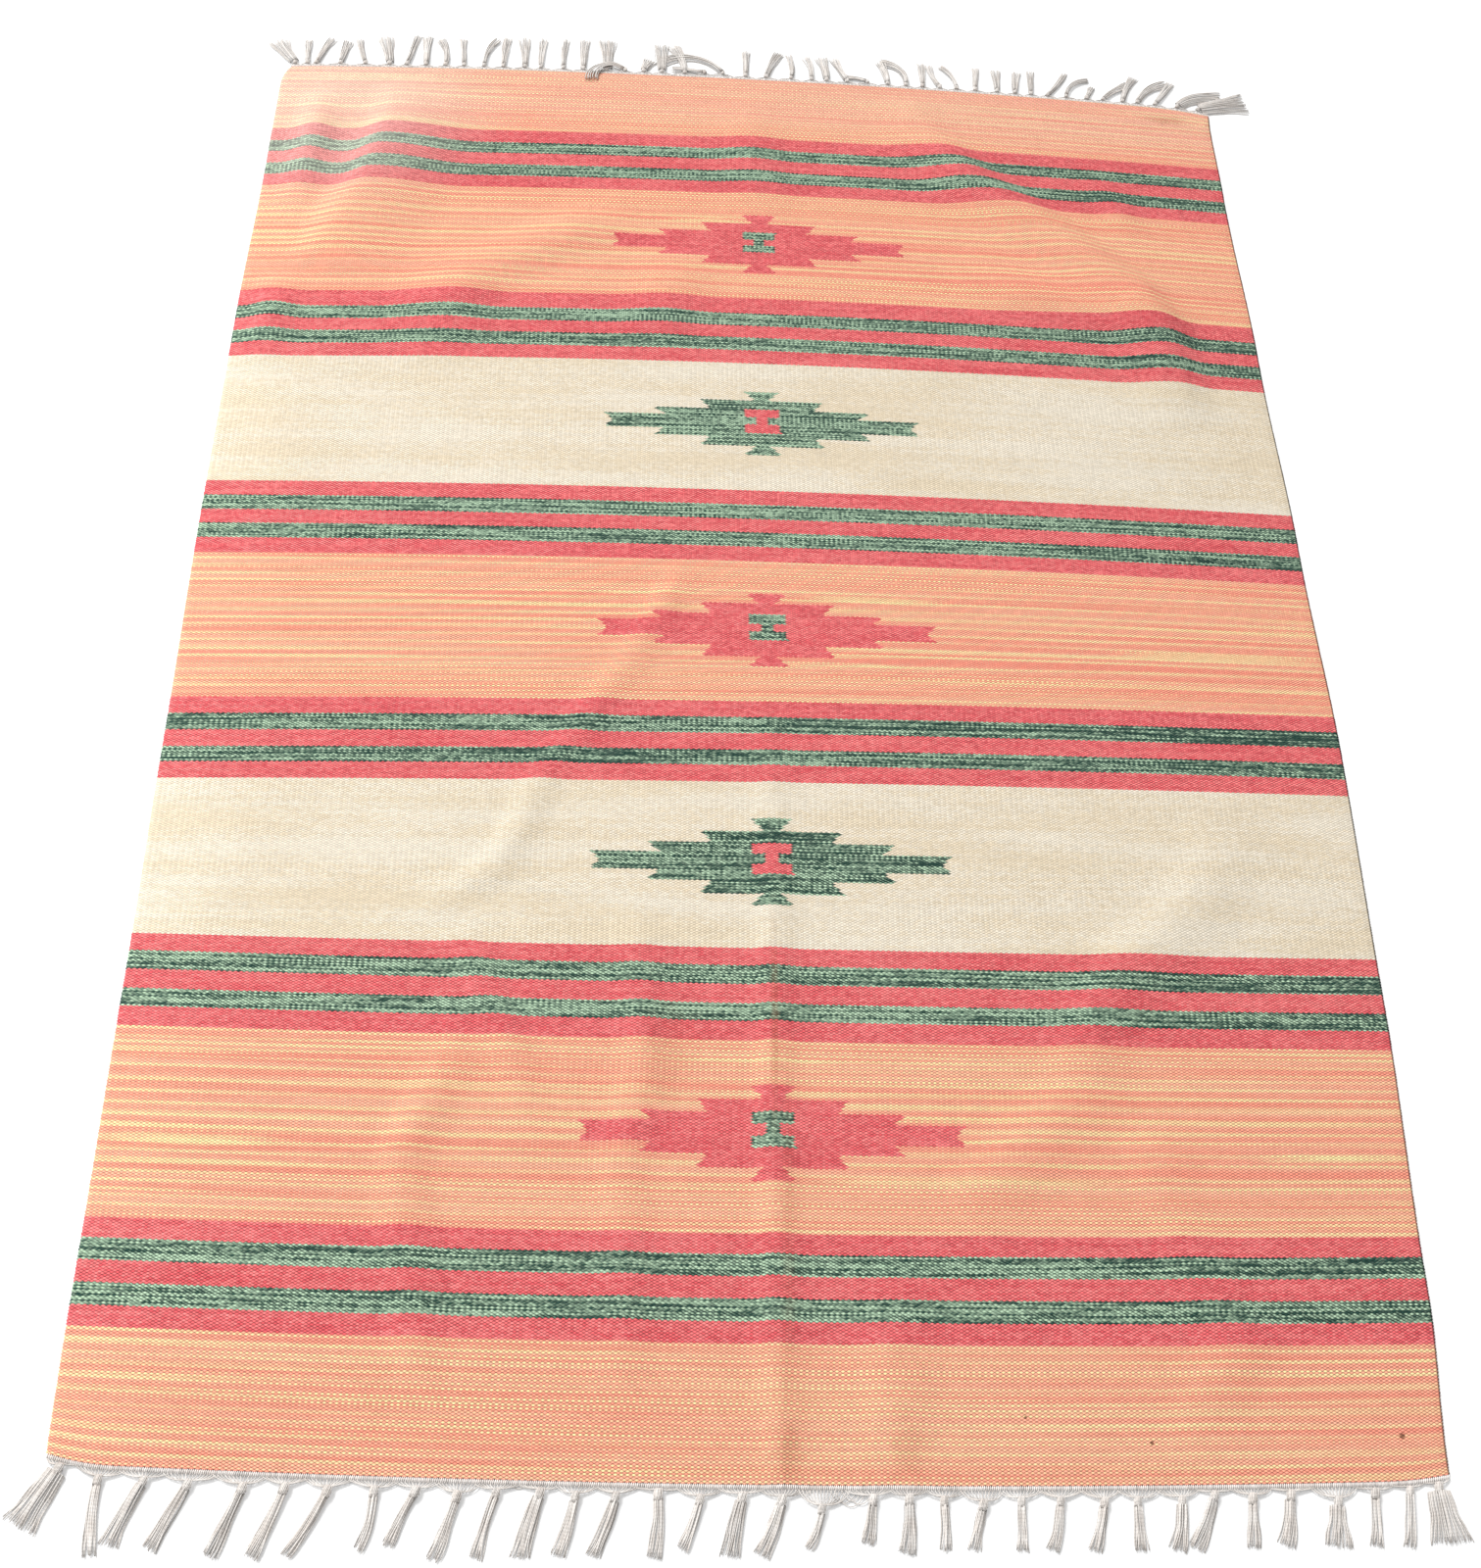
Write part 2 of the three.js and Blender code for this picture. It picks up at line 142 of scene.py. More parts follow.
FAR_TASSELS = (
    (-598, -36, 8, 22, 48), (-578, -6, 6, 9, 43), (-565, 14, 8, 10, 49), (-533, 6, 4, 11, 42),
    (-501, -20, 14, 8, 47), (-470, -9, -4, 17, 51), (-448, 12, -6, 8, 56), (-423, -2, 0, 11, 54),
    (-398, 6, -36, 9, 50), (-374, -6, 4, 9, 50), (-348, -2, 38, 9, 54), (-323, 0, 6, 10, 54),
    (-295, -2, -2, 12, 56), (-274, -4, 12, 10, 54), (-245, -3, 10, 8, 54), (-219, 0, 2, 11, 56),
    (-188, -2, 0, 20, 56), (-164, -58, -128, 12, 60, 2, 4.2), (-140, 14, 12, 16, 22),
    (-116, -2, 0, 18, 52), (-86, -4, -26, 13, 53), (-60, -78, -10, 9, 40, 4),
    (-36, -30, -100, 12, 92, 4), (-6, 0, 0, 9, 47), (21, 12, 16, 12, 50), (54, 6, -22, 9, 45),
    (81, 2, -22, 9, 43), (101, -2, -12, 14, 43), (128, -22, 4, 10, 45), (155, -62, -30, 8, 30, 3),
    (182, -6, -10, 11, 42), (206, 6, -88, 10, 58), (228, 0, -2, 10, 42), (251, -28, 26, 7, 43),
    (273, -4, -44, 8, 44), (298, 2, 4, 9, 41), (327, 2, -6, 12, 40), (351, 2, 10, 12, 39),
    (372, 2, 4, 9, 43), (394, 36, -14, 8, 50), (419, 6, 76, 9, 48), (446, 20, 4, 8, 22),
    (468, 36, 26, 12, 46), (494, 12, 20, 11, 50), (514, 22, 50, 13, 57), (537, 30, 0, 11, 48),
    (566, 40, 60, 22, 64), (592, 68, 10, 32, 64, 3),
)

# Slack warps between the tassels: (from, to) along the edge and how far the loop reaches.
NEAR_LOOPS = ((60, 84, 11), (64, 92, 14), (70, 88, 9), (74, 98, 12), (-212, -200, 3), (30, 44, 4))
FAR_LOOPS = ((-58, -40, 5), (-54, -30, 7), (112, 126, 4), (118, 140, 5), (432, 442, 3))


# ---------------- camera
# Turns in degrees, and the place seen from the middle of the cloth's top.
CAMERA_YAW, CAMERA_TILT, CAMERA_ROLL = -5.477, 35.012, 6.649
CAMERA_PLACE = (-0.1478, -1.5684, 1.9764)


def add_object(name, data):
    thing = bpy.data.objects.new(name, data)
    bpy.context.scene.collection.objects.link(thing)
    return thing


def make_camera():
    """Above the near end, looking down at 55 degrees, turned a little both ways."""
    data = bpy.data.cameras.new("camera")
    data.sensor_width = 36
    data.lens = 54
    camera = add_object("camera", data)
    place = np.add(CAMERA_PLACE, (*CLOTH_CENTRE, CLOTH_THICK))
    camera.matrix_world = (Matrix.Translation(place)
                           @ Matrix.Rotation(math.radians(CAMERA_YAW), 4, "Z")
                           @ Matrix.Rotation(math.radians(CAMERA_TILT), 4, "X")
                           @ Matrix.Rotation(math.radians(CAMERA_ROLL), 4, "Z"))
    bpy.context.scene.camera = camera


make_camera()


# ---------------- how the cloth lies
def mix(a, b, share):
    return a + (b - a) * share


def uneven(count, kind):
    """A repeatable uneven number from 0 to 1 for a counted thing."""
    wave = np.sin(count * 12.9898 + kind * 78.233) * 43758.5453
    return wave - np.floor(wave)


def lie_at(t):
    """The other columns of LIE_TABLE at places along the cloth, eased from row to row."""
    at = LIE_TABLE[:, 0]
    t = np.clip(t, at[0], at[-1])
    row = np.clip(np.searchsorted(at, t, side="right") - 1, 0, len(at) - 2)
    share = (t - at[row]) / (at[row + 1] - at[row])
    share = share * share * (3 - 2 * share)
    return [mix(column[row], column[row + 1], share) for column in LIE_TABLE[:, 1:].T]


def ridge_lift(ridge, s, t):
    """How high one wrinkle lifts the cloth: a bell on each side of the nearest part of its route."""
    wide_left, wide_right, route = ridge
    nearest = np.full(s.shape, np.inf)
    lift = np.zeros(s.shape)
    route = np.array(route) * MM
    for (ax, ay, ah), (bx, by, bh) in zip(route, route[1:]):
        dx, dy = bx - ax, by - ay
        share = np.clip(((s - ax) * dx + (t - ay) * dy) / (dx * dx + dy * dy), 0, 1)
        away = np.hypot(s - ax - dx * share, t - ay - dy * share)
        on_left = dx * (t - ay) - dy * (s - ax) > 0
        wide = np.where(on_left, wide_left, wide_right) * MM
        bell = np.where(away < wide, (1 + np.cos(np.pi * away / wide)) / 2, 0)
        closer = away < nearest
        lift = np.where(closer, mix(ah, bh, share) * bell, lift)
        nearest = np.where(closer, away, nearest)
    return lift


def lay_cloth(s, t):
    """x, y and z of the underside for points of the woven rectangle."""
    s, t = np.broadcast_arrays(np.asarray(s, float), np.asarray(t, float))
    y_left, y_middle, y_right, x_left, x_right = lie_at(t)
    share = s / HALF_WIDTH
    slant = (y_right - y_left) / 2 * share
    bow = ((y_right + y_left) / 2 - y_middle) * share ** 2
    x = CLOTH_CENTRE[0] + s + mix(x_left, x_right, (share + 1) / 2)
    y = CLOTH_CENTRE[1] + t + y_middle + slant + bow
    for sign_s, sign_t, corner_x, corner_y, reach_s, reach_t in CORNERS:
        near_side = np.clip(1 + (sign_s * s - HALF_WIDTH) / (reach_s * MM), 0, 1)
        near_end = np.clip(1 + (sign_t * t - HALF_LENGTH) / (reach_t * MM), 0, 1)
        felt = (near_side * near_end) ** 2
        x = x + corner_x * MM * felt
        y = y + corner_y * MM * felt
    lift = sum(ridge_lift(ridge, s, t) for ridge in RIDGES.values())
    return np.stack([x, y, lift], -1)


# ---------------- meshes
def make_piece(name, points, faces, maps, material):
    """A smooth mesh object. maps is {name: one pair for each corner of each face, in order}."""
    mesh = bpy.data.meshes.new(name)
    mesh.from_pydata(points.tolist(), [], [face.tolist() for face in faces])
    for map_name, pairs in maps.items():
        layer = mesh.uv_layers.new(name=map_name)
        layer.data.foreach_set("uv", np.asarray(pairs, np.float32).ravel())
    mesh.polygons.foreach_set("use_smooth", [True] * len(mesh.polygons))
    mesh.materials.append(material)
    mesh.update()
    return add_object(name, mesh)


def grid_faces(rows, columns):
    """Quads that face up over a grid of points."""
    r, c = np.meshgrid(np.arange(rows - 1), np.arange(columns - 1), indexing="ij")
    a = (r * columns + c).ravel()
    return np.stack([a, a + 1, a + columns + 1, a + columns], 1)


def rim_faces(rows, columns, top):
    """Quads that close the edge between a grid and a grid above it, whose points start at top."""
    low = np.concatenate([
        np.arange(columns - 1),
        np.arange(rows - 1) * columns + columns - 1,
        (rows - 1) * columns + np.arange(columns - 1, 0, -1),
        np.arange(rows - 1, 0, -1) * columns,
    ])
    ahead = np.roll(low, -1)
    return np.stack([low, ahead, ahead + top, low + top], 1)


# How far round a tube or bead its top is, in turns.
TOP_TURN = 0.25


class Yarns:
    """Tubes and beads gathered into one mesh. Each corner of a face keeps a pair in one map."""

    def __init__(self):
        self.points, self.faces, self.pairs = [], [], []
        self.count = 0

    def add(self, points, faces, pairs):
        self.points.append(points)
        self.faces.extend(np.asarray(face) + self.count for face in faces)
        self.pairs.append(pairs)
        self.count += len(points)

    def tube(self, path, radius, sides=5, closed=False):
        """A tube along a path of points. Its map is the turns round it and metres along it.

        The turns start at a whole number of its own.
        """
        ring_count = len(path)
        if closed:
            ahead = np.roll(path, -1, 0) - np.roll(path, 1, 0)
        else:
            ahead = np.gradient(path, axis=0)
        ahead /= np.linalg.norm(ahead, axis=1)[:, None]
        side = np.cross(ahead, (0, 0, 1))
        length = np.linalg.norm(side, axis=1)[:, None]
        side = np.where(length > 1e-6, side / np.maximum(length, 1e-9), (1, 0, 0))
        up = np.cross(side, ahead)
        angle = np.arange(sides) * 2 * np.pi / sides
        radius = np.broadcast_to(radius, ring_count)[:, None, None]
        rings = path[:, None] + radius * (side[:, None] * np.cos(angle)[:, None]
                                          + up[:, None] * np.sin(angle)[:, None])
        along = np.concatenate([[0], np.cumsum(np.linalg.norm(np.diff(path, axis=0), axis=1))])
        spans = ring_count if closed else ring_count - 1
        i, j = (grid.ravel() for grid in np.meshgrid(np.arange(spans), np.arange(sides),
                                                     indexing="ij"))
        i_next, j_next = (i + 1) % ring_count, (j + 1) % sides
        ring, next_ring = i * sides, i_next * sides
        quads = np.stack([ring + j, next_ring + j, next_ring + j_next, ring + j_next], 1)
        step = along[-1] / (ring_count - 1)
        near, far = along[i], np.where(i_next > i, along[i_next], along[i] + step)
        turn, next_turn = j / sides, (j + 1) / sides
        pairs = np.stack([turn, near, turn, far, next_turn, far, next_turn, near], 1)
        pairs = pairs.reshape(-1, 2)
        faces = list(quads)
        if not closed:
            faces.append(np.arange(sides))
            faces.append((ring_count - 1) * sides + np.arange(sides)[::-1])
            ends = np.repeat([[0, along[0]], [0, along[-1]]], sides, axis=0)
            pairs = np.concatenate([pairs, ends])
        self.add(rings.reshape(-1, 3), faces, pairs + (len(self.points), 0))

    def bead(self, centre, along, across, up, pair, sides=6, rings=3, shaded=0.0, spread=False):
        """An egg-shaped bead with three half axes. Its map is one pair all over.

        With shaded the first number of the pair runs round it instead, centred on its top, so
        that the yarn's painted shade falls on its lower side: all the way, as on a tube, at 1. With
        spread it grows with x.
        """
        band = np.arange(1, rings + 1) * np.pi / (rings + 1)
        angle = np.arange(sides) * 2 * np.pi / sides
        if np.dot(np.cross(across, up), along) < 0:
            along = -along
        around = np.cos(angle)[:, None] * across + np.sin(angle)[:, None] * up
        ring_points = np.cos(band)[:, None, None] * along + np.sin(band)[:, None, None] * around
        points = np.concatenate([[along], ring_points.reshape(-1, 3), [-along]]) + centre
        faces, turns = [], []
        last = 1 + (rings - 1) * sides
        for j in range(sides):
            k = (j + 1) % sides
            a, b = (j, j + 1) if j < (TOP_TURN + 0.5) * sides else (j - sides, j + 1 - sides)
            turns += [a, a, b] + [a, a, b, b] * (rings - 1) + [b, a, a]
            faces.append([0, 1 + j, 1 + k])
            for ring in range(1, last, sides):
                faces.append([ring + j, ring + sides + j, ring + sides + k, ring + k])
            faces.append([last + k, last + j, len(points) - 1])
        pairs = np.tile(pair, (len(turns), 1))
        if shaded:
            turned = np.array(turns) / sides
            pairs[:, 0] = len(self.points) + TOP_TURN + (turned - TOP_TURN) * shaded
        if spread:
            pairs[:, 0] += points[np.concatenate(faces), 0] - centre[0]
        self.add(points, faces, pairs)

    def piece(self, name, map_name, material):
        maps = {map_name: np.concatenate(self.pairs)}
        return make_piece(name, np.concatenate(self.points), self.faces, maps, material)


# ---------------- shader formulas
def feed(tree, entry, value):
    """Gives an input of a node a Value, another node's output or a constant."""
    value = getattr(value, "socket", value)
    if isinstance(value, bpy.types.NodeSocket):
        tree.links.new(value, entry)
    else:
        entry.default_value = value


class Value:
    """A number in a material, so that a formula written with it adds the Math nodes."""

    def __init__(self, tree, socket):
        self.tree, self.socket = tree, socket

    def apply(self, operation, *others):
        node = self.tree.nodes.new("ShaderNodeMath")
        node.operation = operation
        for entry, value in zip(node.inputs, (self,) + others):
            feed(self.tree, entry, value)
        return Value(self.tree, node.outputs[0])

    __add__ = partialmethod(apply, "ADD")
    __sub__ = partialmethod(apply, "SUBTRACT")
    __mul__ = partialmethod(apply, "MULTIPLY")
    __truediv__ = partialmethod(apply, "DIVIDE")
    __lt__ = partialmethod(apply, "LESS_THAN")
    __gt__ = partialmethod(apply, "GREATER_THAN")
    __pow__ = partialmethod(apply, "POWER")
    __mod__ = partialmethod(apply, "FLOORED_MODULO")
    __abs__ = partialmethod(apply, "ABSOLUTE")
    floor = partialmethod(apply, "FLOOR")
    fraction = partialmethod(apply, "FRACT")
    root = partialmethod(apply, "SQRT")
    sine = partialmethod(apply, "SINE")
    most = partialmethod(apply, "MAXIMUM")

    def __neg__(self):
        return self * -1

    def wave(self):
        """From 0 to 1 and back to 0 over each whole step, rounded like a thread."""
        return (self.fraction() * math.pi).sine()

    def blur(self, low, high):
        """0 up to low, 1 from high on, eased between."""
        node = self.tree.nodes.new("ShaderNodeMapRange")
        node.interpolation_type = "SMOOTHSTEP"
        self.tree.links.new(self.socket, node.inputs["Value"])
        node.inputs["From Min"].default_value = low
        node.inputs["From Max"].default_value = high
        return Value(self.tree, node.outputs["Result"])

    def towards(self, other, share):
        """This value where share is 0, other where it is 1."""
        return self + (other - self) * share


# The share and the two colours among the inputs of a Mix node, and its mixed colour.
BLEND_INPUTS = (0, 6, 7)
BLEND_OUTPUT = 2


class Material:
    """A rough cloth material and the inputs that its formulas start from."""

    def __init__(self, name, map_name):
        self.material = bpy.data.materials.new(name)
        self.material.use_nodes = True
        self.tree = tree = self.material.node_tree
        self.surface = tree.nodes["Principled BSDF"]
        self.surface.inputs["Roughness"].default_value = 0.95
        self.surface.inputs["Specular IOR Level"].default_value = 0.2
        uv = tree.nodes.new("ShaderNodeUVMap")
        uv.uv_map = map_name
        self.uv = uv.outputs["UV"]
        apart = tree.nodes.new("ShaderNodeSeparateXYZ")
        tree.links.new(self.uv, apart.inputs[0])
        self.u, self.v = Value(tree, apart.outputs["X"]), Value(tree, apart.outputs["Y"])

    def vector(self, x, y, z=0.0):
        node = self.tree.nodes.new("ShaderNodeCombineXYZ")
        for entry, value in zip(node.inputs, (x, y, z)):
            feed(self.tree, entry, value)
        return node.outputs[0]

    def random(self, x, y, z=0.0):
        """An even random number from 0 to 1 for each whole x, y and z."""
        node = self.tree.nodes.new("ShaderNodeTexWhiteNoise")
        node.noise_dimensions = "3D"
        self.tree.links.new(self.vector(x, y, z), node.inputs["Vector"])
        return Value(self.tree, node.outputs["Value"])

    def noise(self, vector, scale, detail, roughness):
        """Smooth noise, about 0.5."""
        node = self.tree.nodes.new("ShaderNodeTexNoise")
        self.tree.links.new(vector, node.inputs["Vector"])
        for name, value in (("Scale", scale), ("Detail", detail), ("Roughness", roughness)):
            node.inputs[name].default_value = value
        return Value(self.tree, node.outputs["Fac"])

    def clouds(self, x, y, z=0.0, detail=2.0, roughness=0.5):
        """Smooth noise, about 0.5, that changes over one step of x, y or z."""
        return self.noise(self.vector(x, y, z), 1.0, detail, roughness)

    def blend(self, share, a, b, how="MIX"):
        """A colour: a where share is 0, b where it is 1."""
        node = self.tree.nodes.new("ShaderNodeMix")
        node.data_type = "RGBA"
        node.blend_type = how
        for entry, value in zip(BLEND_INPUTS, (share, a, b)):
            feed(self.tree, node.inputs[entry], value)
        return node.outputs[BLEND_OUTPUT]

    def shade(self, colour, brightness):
        """colour times brightness, a number about 1."""
        return self.blend(1.0, colour, self.vector(brightness, brightness, brightness), "MULTIPLY")

    def finish(self, colour, height, relief):
        """relief is how far a height of 1 stands out, in metres."""
        bump = self.tree.nodes.new("ShaderNodeBump")
        bump.inputs["Distance"].default_value = relief
        self.tree.links.new(height.socket, bump.inputs["Height"])
        self.tree.links.new(bump.outputs["Normal"], self.surface.inputs["Normal"])
        self.tree.links.new(colour, self.surface.inputs["Base Color"])
        return self.material


def colour_of(red, green, blue):
    """A colour given as it shows on a screen, 0 to 255, in the linear values that shaders use."""
    parts = [c / 255 for c in (red, green, blue)]
    return tuple(c / 12.92 if c <= 0.04045 else ((c + 0.055) / 1.055) ** 2.4 for c in parts) + (1,)


# ---------------- the weave
CORAL = colour_of(251, 176, 148)
CORAL_DEEP = colour_of(248, 143, 124)
YELLOW = colour_of(252, 226, 167)
CREAM_WHITE = colour_of(248, 237, 217)
CREAM_TAN = colour_of(240, 223, 194)
RED = colour_of(249, 132, 131)
RED_DEEP = colour_of(216, 85, 92)
GREEN_LIGHT = colour_of(176, 204, 174)
GREEN_DARK = colour_of(35, 67, 59)
# Pale tint for painted light round the far left corner, and for the paler far end.
PALE_TINT = colour_of(255, 246, 232)
# Brown for the smudges and the painted crease shade.
BROWN = colour_of(150, 96, 62)
STAIN = colour_of(112, 66, 48)

# How far a bead swells into the rows beside it, in rows. From 1 / pi on, the rows would cross.
SWELL = 0.3
BEAD_RELIEF = 0.45 * MM
# The mean height of a bead whose top is 1 high.
DOME_MEAN = 0.53
# How much earlier than the others the second band starts.
EARLY_RED = 5 * MM

# For each plain ground, from the far end: weft rows after which the dye comes round again.
DYE_ROWS = (2.90, 2.85, 2.70, 2.95, 2.75, 3.25, 2.74)
# Beside a medallion the weft turns back at its side, so a row is only this long.
SIDE_PART = 500 * MM
# The yarn turns yellow between these two points of its way.
YELLOW_STARTS, YELLOW_FULL = 0.45, 0.85

# Long yellow lengths: (from, to) across the cloth, the place along it and the width, in mm.
YELLOW_RUNS = (
    (-605, -440, -609, 11), (470, 605, -609, 8), (40, 330, -637, 5), (-440, -60, -545, 4),
    (-120, 110, -515, 4), (45, 200, 49, 9), (380, 605, -14, 10), (-170, -60, 52, 4),
    (60, 180, -43, 4), (-90, -15, 643, 7), (165, 260, 632, 5), (-90, 0, 556, 4),
    (-600, -380, 892, 5), (-605, -420, 838, 6), (-560, -330, 806, 5),
)
# How unevenly their ends and their sides lie, in mm.
RUN_FRAY, RUN_SWAY = 60, 6

# The stepped medallion, outwards from its middle row: (from, to) along the cloth, and the half
# width at the start and at the end of the step. The figure in its middle is made the same way.
MEDALLION_STEPS = ((0, 11, 171, 180), (11, 22.4, 112, 124), (22.4, 37, 60, 71), (37, 51.5, 8.5, 21))
FIGURE_STEPS = ((0, 5.6, 6.5, 6.5), (5.6, 18, 20.5, 21))
MEDALLION_SIDE = 8 * MM
# For each field from the far end: how far, in mm, its medallion lies beyond the middle of the
# field, and how long it is for its width. The figure lies a little further still.
MEDALLIONS = ((4, 1.0), (4, 0.94), (0, 0.98), (1, 0.99), (1.3, 0.93))
FIGURE_AHEAD = 3.4 * MM

# Small dark specks in the near right part: (s, t, radius) in mm.
SPECKS = ((567, -871, 3.4), (343, -874, 2.4), (232, -852, 1.8))
# Soft brown marks, some smudges and some painted shade along and beside the middle fold line:
# (s, t, half width, half length) in mm, and the strength.
SMUDGES_AND_CREASE_SHADE = ((25, -884, 15, 34, 0.26), (22, -700, 9, 250, 0.13), (9, -470, 5.5, 140, 0.30),
           (128, -880, 20, 30, 0.14), (548, 886, 34, 12, 0.30), (-88, -500, 34, 60, 0.11),
           (-330, -840, 20, 50, 0.07))
# Painted shadow along the right and the left edge, for the shadow the cloth casts on the floor:
# darker between these two places, outwards.
RIGHT_EDGE_SHADOW = (HALF_WIDTH - 1.8 * MM, HALF_WIDTH - 0.6 * MM)
LEFT_EDGE_SHADOW = (HALF_WIDTH - 0.3 * MM, HALF_WIDTH + 0.8 * MM)
# Painted light pales the colour around the far left corner: its (s, t), in metres, and how far.
LIT_CORNER = (-0.52, 0.83)
LIT_REACH = 0.20


def stepped(away_s, away_t, steps):
    """1 inside a figure made of steps, which is the same on all four sides of its middle."""
    parts = []
    for start, end, half_start, half_end in steps:
        row = (away_t > (start - 0.01) * MM) * (away_t < end * MM)
        slope = (half_end - half_start) / (end - start)
        half = (away_t - start * MM) * slope + half_start * MM
        parts.append(row * (half - away_s > 0))
    return sum(parts[1:], parts[0])


class Beads:
    """The bead of weft at each point: its row, its column and its middle, (s, t).

    The beads lie like bricks, each over one warp. A bead swells into the dips of the rows beside
    it, so the line between two rows is a wave.
    """

    def __init__(self, m):
        self.m = m
        level = m.v / PICK_PITCH
        self.over_warp = (m.u * (math.pi / WARP_PITCH)).apply("COSINE")
        self.level = level + self.over_warp * (level * math.pi).apply("COSINE") * SWELL
        self.row = self.level.floor()
        self.odd = self.row % 2
        self.brick = m.u / (2 * WARP_PITCH) - self.odd * 0.5 + 0.5
        self.column = self.brick.floor()
        self.s = (self.column + self.odd * 0.5) * (2 * WARP_PITCH)
        self.t = (self.row + 0.5) * PICK_PITCH
        self.dome = self.level.wave() ** 0.5 * self.brick.wave()

    def random(self, kind=0.0):
        """An even random number from 0 to 1 for each bead, another one for each kind."""
        return self.m.random(self.column, self.row, kind)


class Pattern:
    """What part of the pattern a bead is in. The plain grounds are numbered from the far end."""

    def __init__(self, bead):
        from_far = -(bead.t - (HALF_LENGTH - FAR_PANEL))
        self.ground = (from_far / PERIOD).floor() + 1
        into = from_far - (self.ground - 1) * PERIOD
        self.has_medallion = (self.ground > 0.5) * (self.ground < len(MEDALLIONS) + 0.5)
        self.cream = (-(self.ground % 2) + 1) * self.has_medallion
        orange = -self.cream + 1
        in_band = into < BAND
        green_stripe = in_band * ((into / STRIPE).floor() % 2 > 0.5)

        away_s = abs(bead.s - MEDALLION_SIDE)
        beyond = into - (BAND + FIELD / 2)
        length = 1
        for number, (ahead, long) in enumerate(MEDALLIONS, 1):
            here = self.on_ground(number)
            beyond = beyond + here * (ahead * MM)
            length = here * (long - 1) + length
        self.away_t = abs(beyond) / length
        medallion = stepped(away_s, self.away_t, MEDALLION_STEPS) * self.has_medallion
        figure = stepped(away_s, abs(beyond + FIGURE_AHEAD), FIGURE_STEPS) * self.has_medallion
        around = medallion - figure

        green = green_stripe.most(around * self.cream)
        self.green = green.most(figure * orange)
        red = (in_band - green_stripe).most(around * orange)
        red = red.most(figure * self.cream)
        self.red = red.most((into > PERIOD - EARLY_RED) * self.on_ground(1))

    def on_ground(self, number):
        return self.ground.apply("COMPARE", float(number), 0.5)


def yellow_weft(m, bead, pattern):
    """How yellow the coral weft is, and how far it is on its way from coral to yellow.

    The weft is dyed in lengths. It runs to and fro, so the dye comes round in stripes at the
    sides, where two rows agree, and in faint dashes in the middle.
    """
    beside = (pattern.away_t < MEDALLION_STEPS[-1][1] * MM) * pattern.has_medallion
    run = beside * (SIDE_PART - CLOTH_WIDTH) + CLOTH_WIDTH
    from_edge = (bead.s + HALF_WIDTH).towards(-abs(bead.s) + HALF_WIDTH, beside)
    parts = [pattern.on_ground(ground) * (1 / (rows * CLOTH_WIDTH))
             for ground, rows in enumerate(DYE_ROWS)]
    turns = sum(parts[1:], parts[0])
    drift = (m.clouds(bead.s * 1.2, bead.t * 60, pattern.ground, roughness=0.6) * 1.3
             + pattern.ground * 0.37)

    def yarn_shade(row, to_and_fro):
        """0 to 1 and back along the dyed yarn of one weft row."""
        yarn = row * run + from_edge.towards(run - from_edge, to_and_fro)
        slack = m.random(row, pattern.ground) * 0.12
        return abs((yarn * turns + drift + slack).fraction() - 0.5) * 2

    shade = yarn_shade(bead.row, bead.odd)
    own = shade.blur(YELLOW_STARTS, YELLOW_FULL)
    towards_turn = (bead.odd * 2 - 1) * ((run * 0.5 - from_edge > 0) * 2 - 1)
    row_joined = yarn_shade(bead.row + towards_turn, -bead.odd + 1).blur(YELLOW_STARTS, YELLOW_FULL)
    uneven_dye = m.clouds(bead.s * 2.5, bead.t * 60, 7.0).blur(0.3, 0.66)
    # Where only one row is yellow, the coral rows beside it cover the ends of its beads.
    bead_end = -bead.brick.wave() + 1
    yellow = own * (-row_joined * 0.16 + 1) * (uneven_dye * 0.66 + 0.46)
    yellow = yellow * (-(bead_end * (-row_joined + 1)) * 0.5 + 1) * 0.82 + 0.05

    frayed = (m.random(bead.row, 5.0) - 0.5) * RUN_FRAY * MM
    sway = (m.clouds(m.u * 7, pattern.ground, detail=1.0) - 0.5) * RUN_SWAY * MM
    for start, end, along, wide in YELLOW_RUNS:
        middle, half = (start + end) / 2 * MM, (end - start) / 2 * MM
        across = -(abs(bead.s - middle) + frayed).blur(half * 0.45, half * 1.15) + 1
        away = abs(bead.t - along * MM + sway)
        beside_it = -away.blur(wide * 0.34 * MM, wide * 0.66 * MM) + 1
        yellow = yellow.most(across * beside_it * (own * 0.4 + 0.6))
    return yellow, shade


def ground_colour(m, bead, pattern):
    yellow, shade = yellow_weft(m, bead, pattern)
    deep = m.clouds(bead.s * 1.6, bead.t * 95, 3.0, 3.0, 0.6).blur(0.34, 0.66)
    coral = m.blend(deep * 0.8 + bead.random(9.0) * 0.2, CORAL, CORAL_DEEP)
    orange = m.blend(yellow, coral, YELLOW)
    patch = m.clouds(bead.s * 4, bead.t * 30, 1.0)
    whiter = patch + (shade - 0.5) * 0.12 + (bead.random(2.0) - 0.5) * 0.25
    cream = m.blend(whiter.blur(0.3, 0.7), CREAM_TAN, CREAM_WHITE)
    return m.blend(pattern.cream, orange, cream)


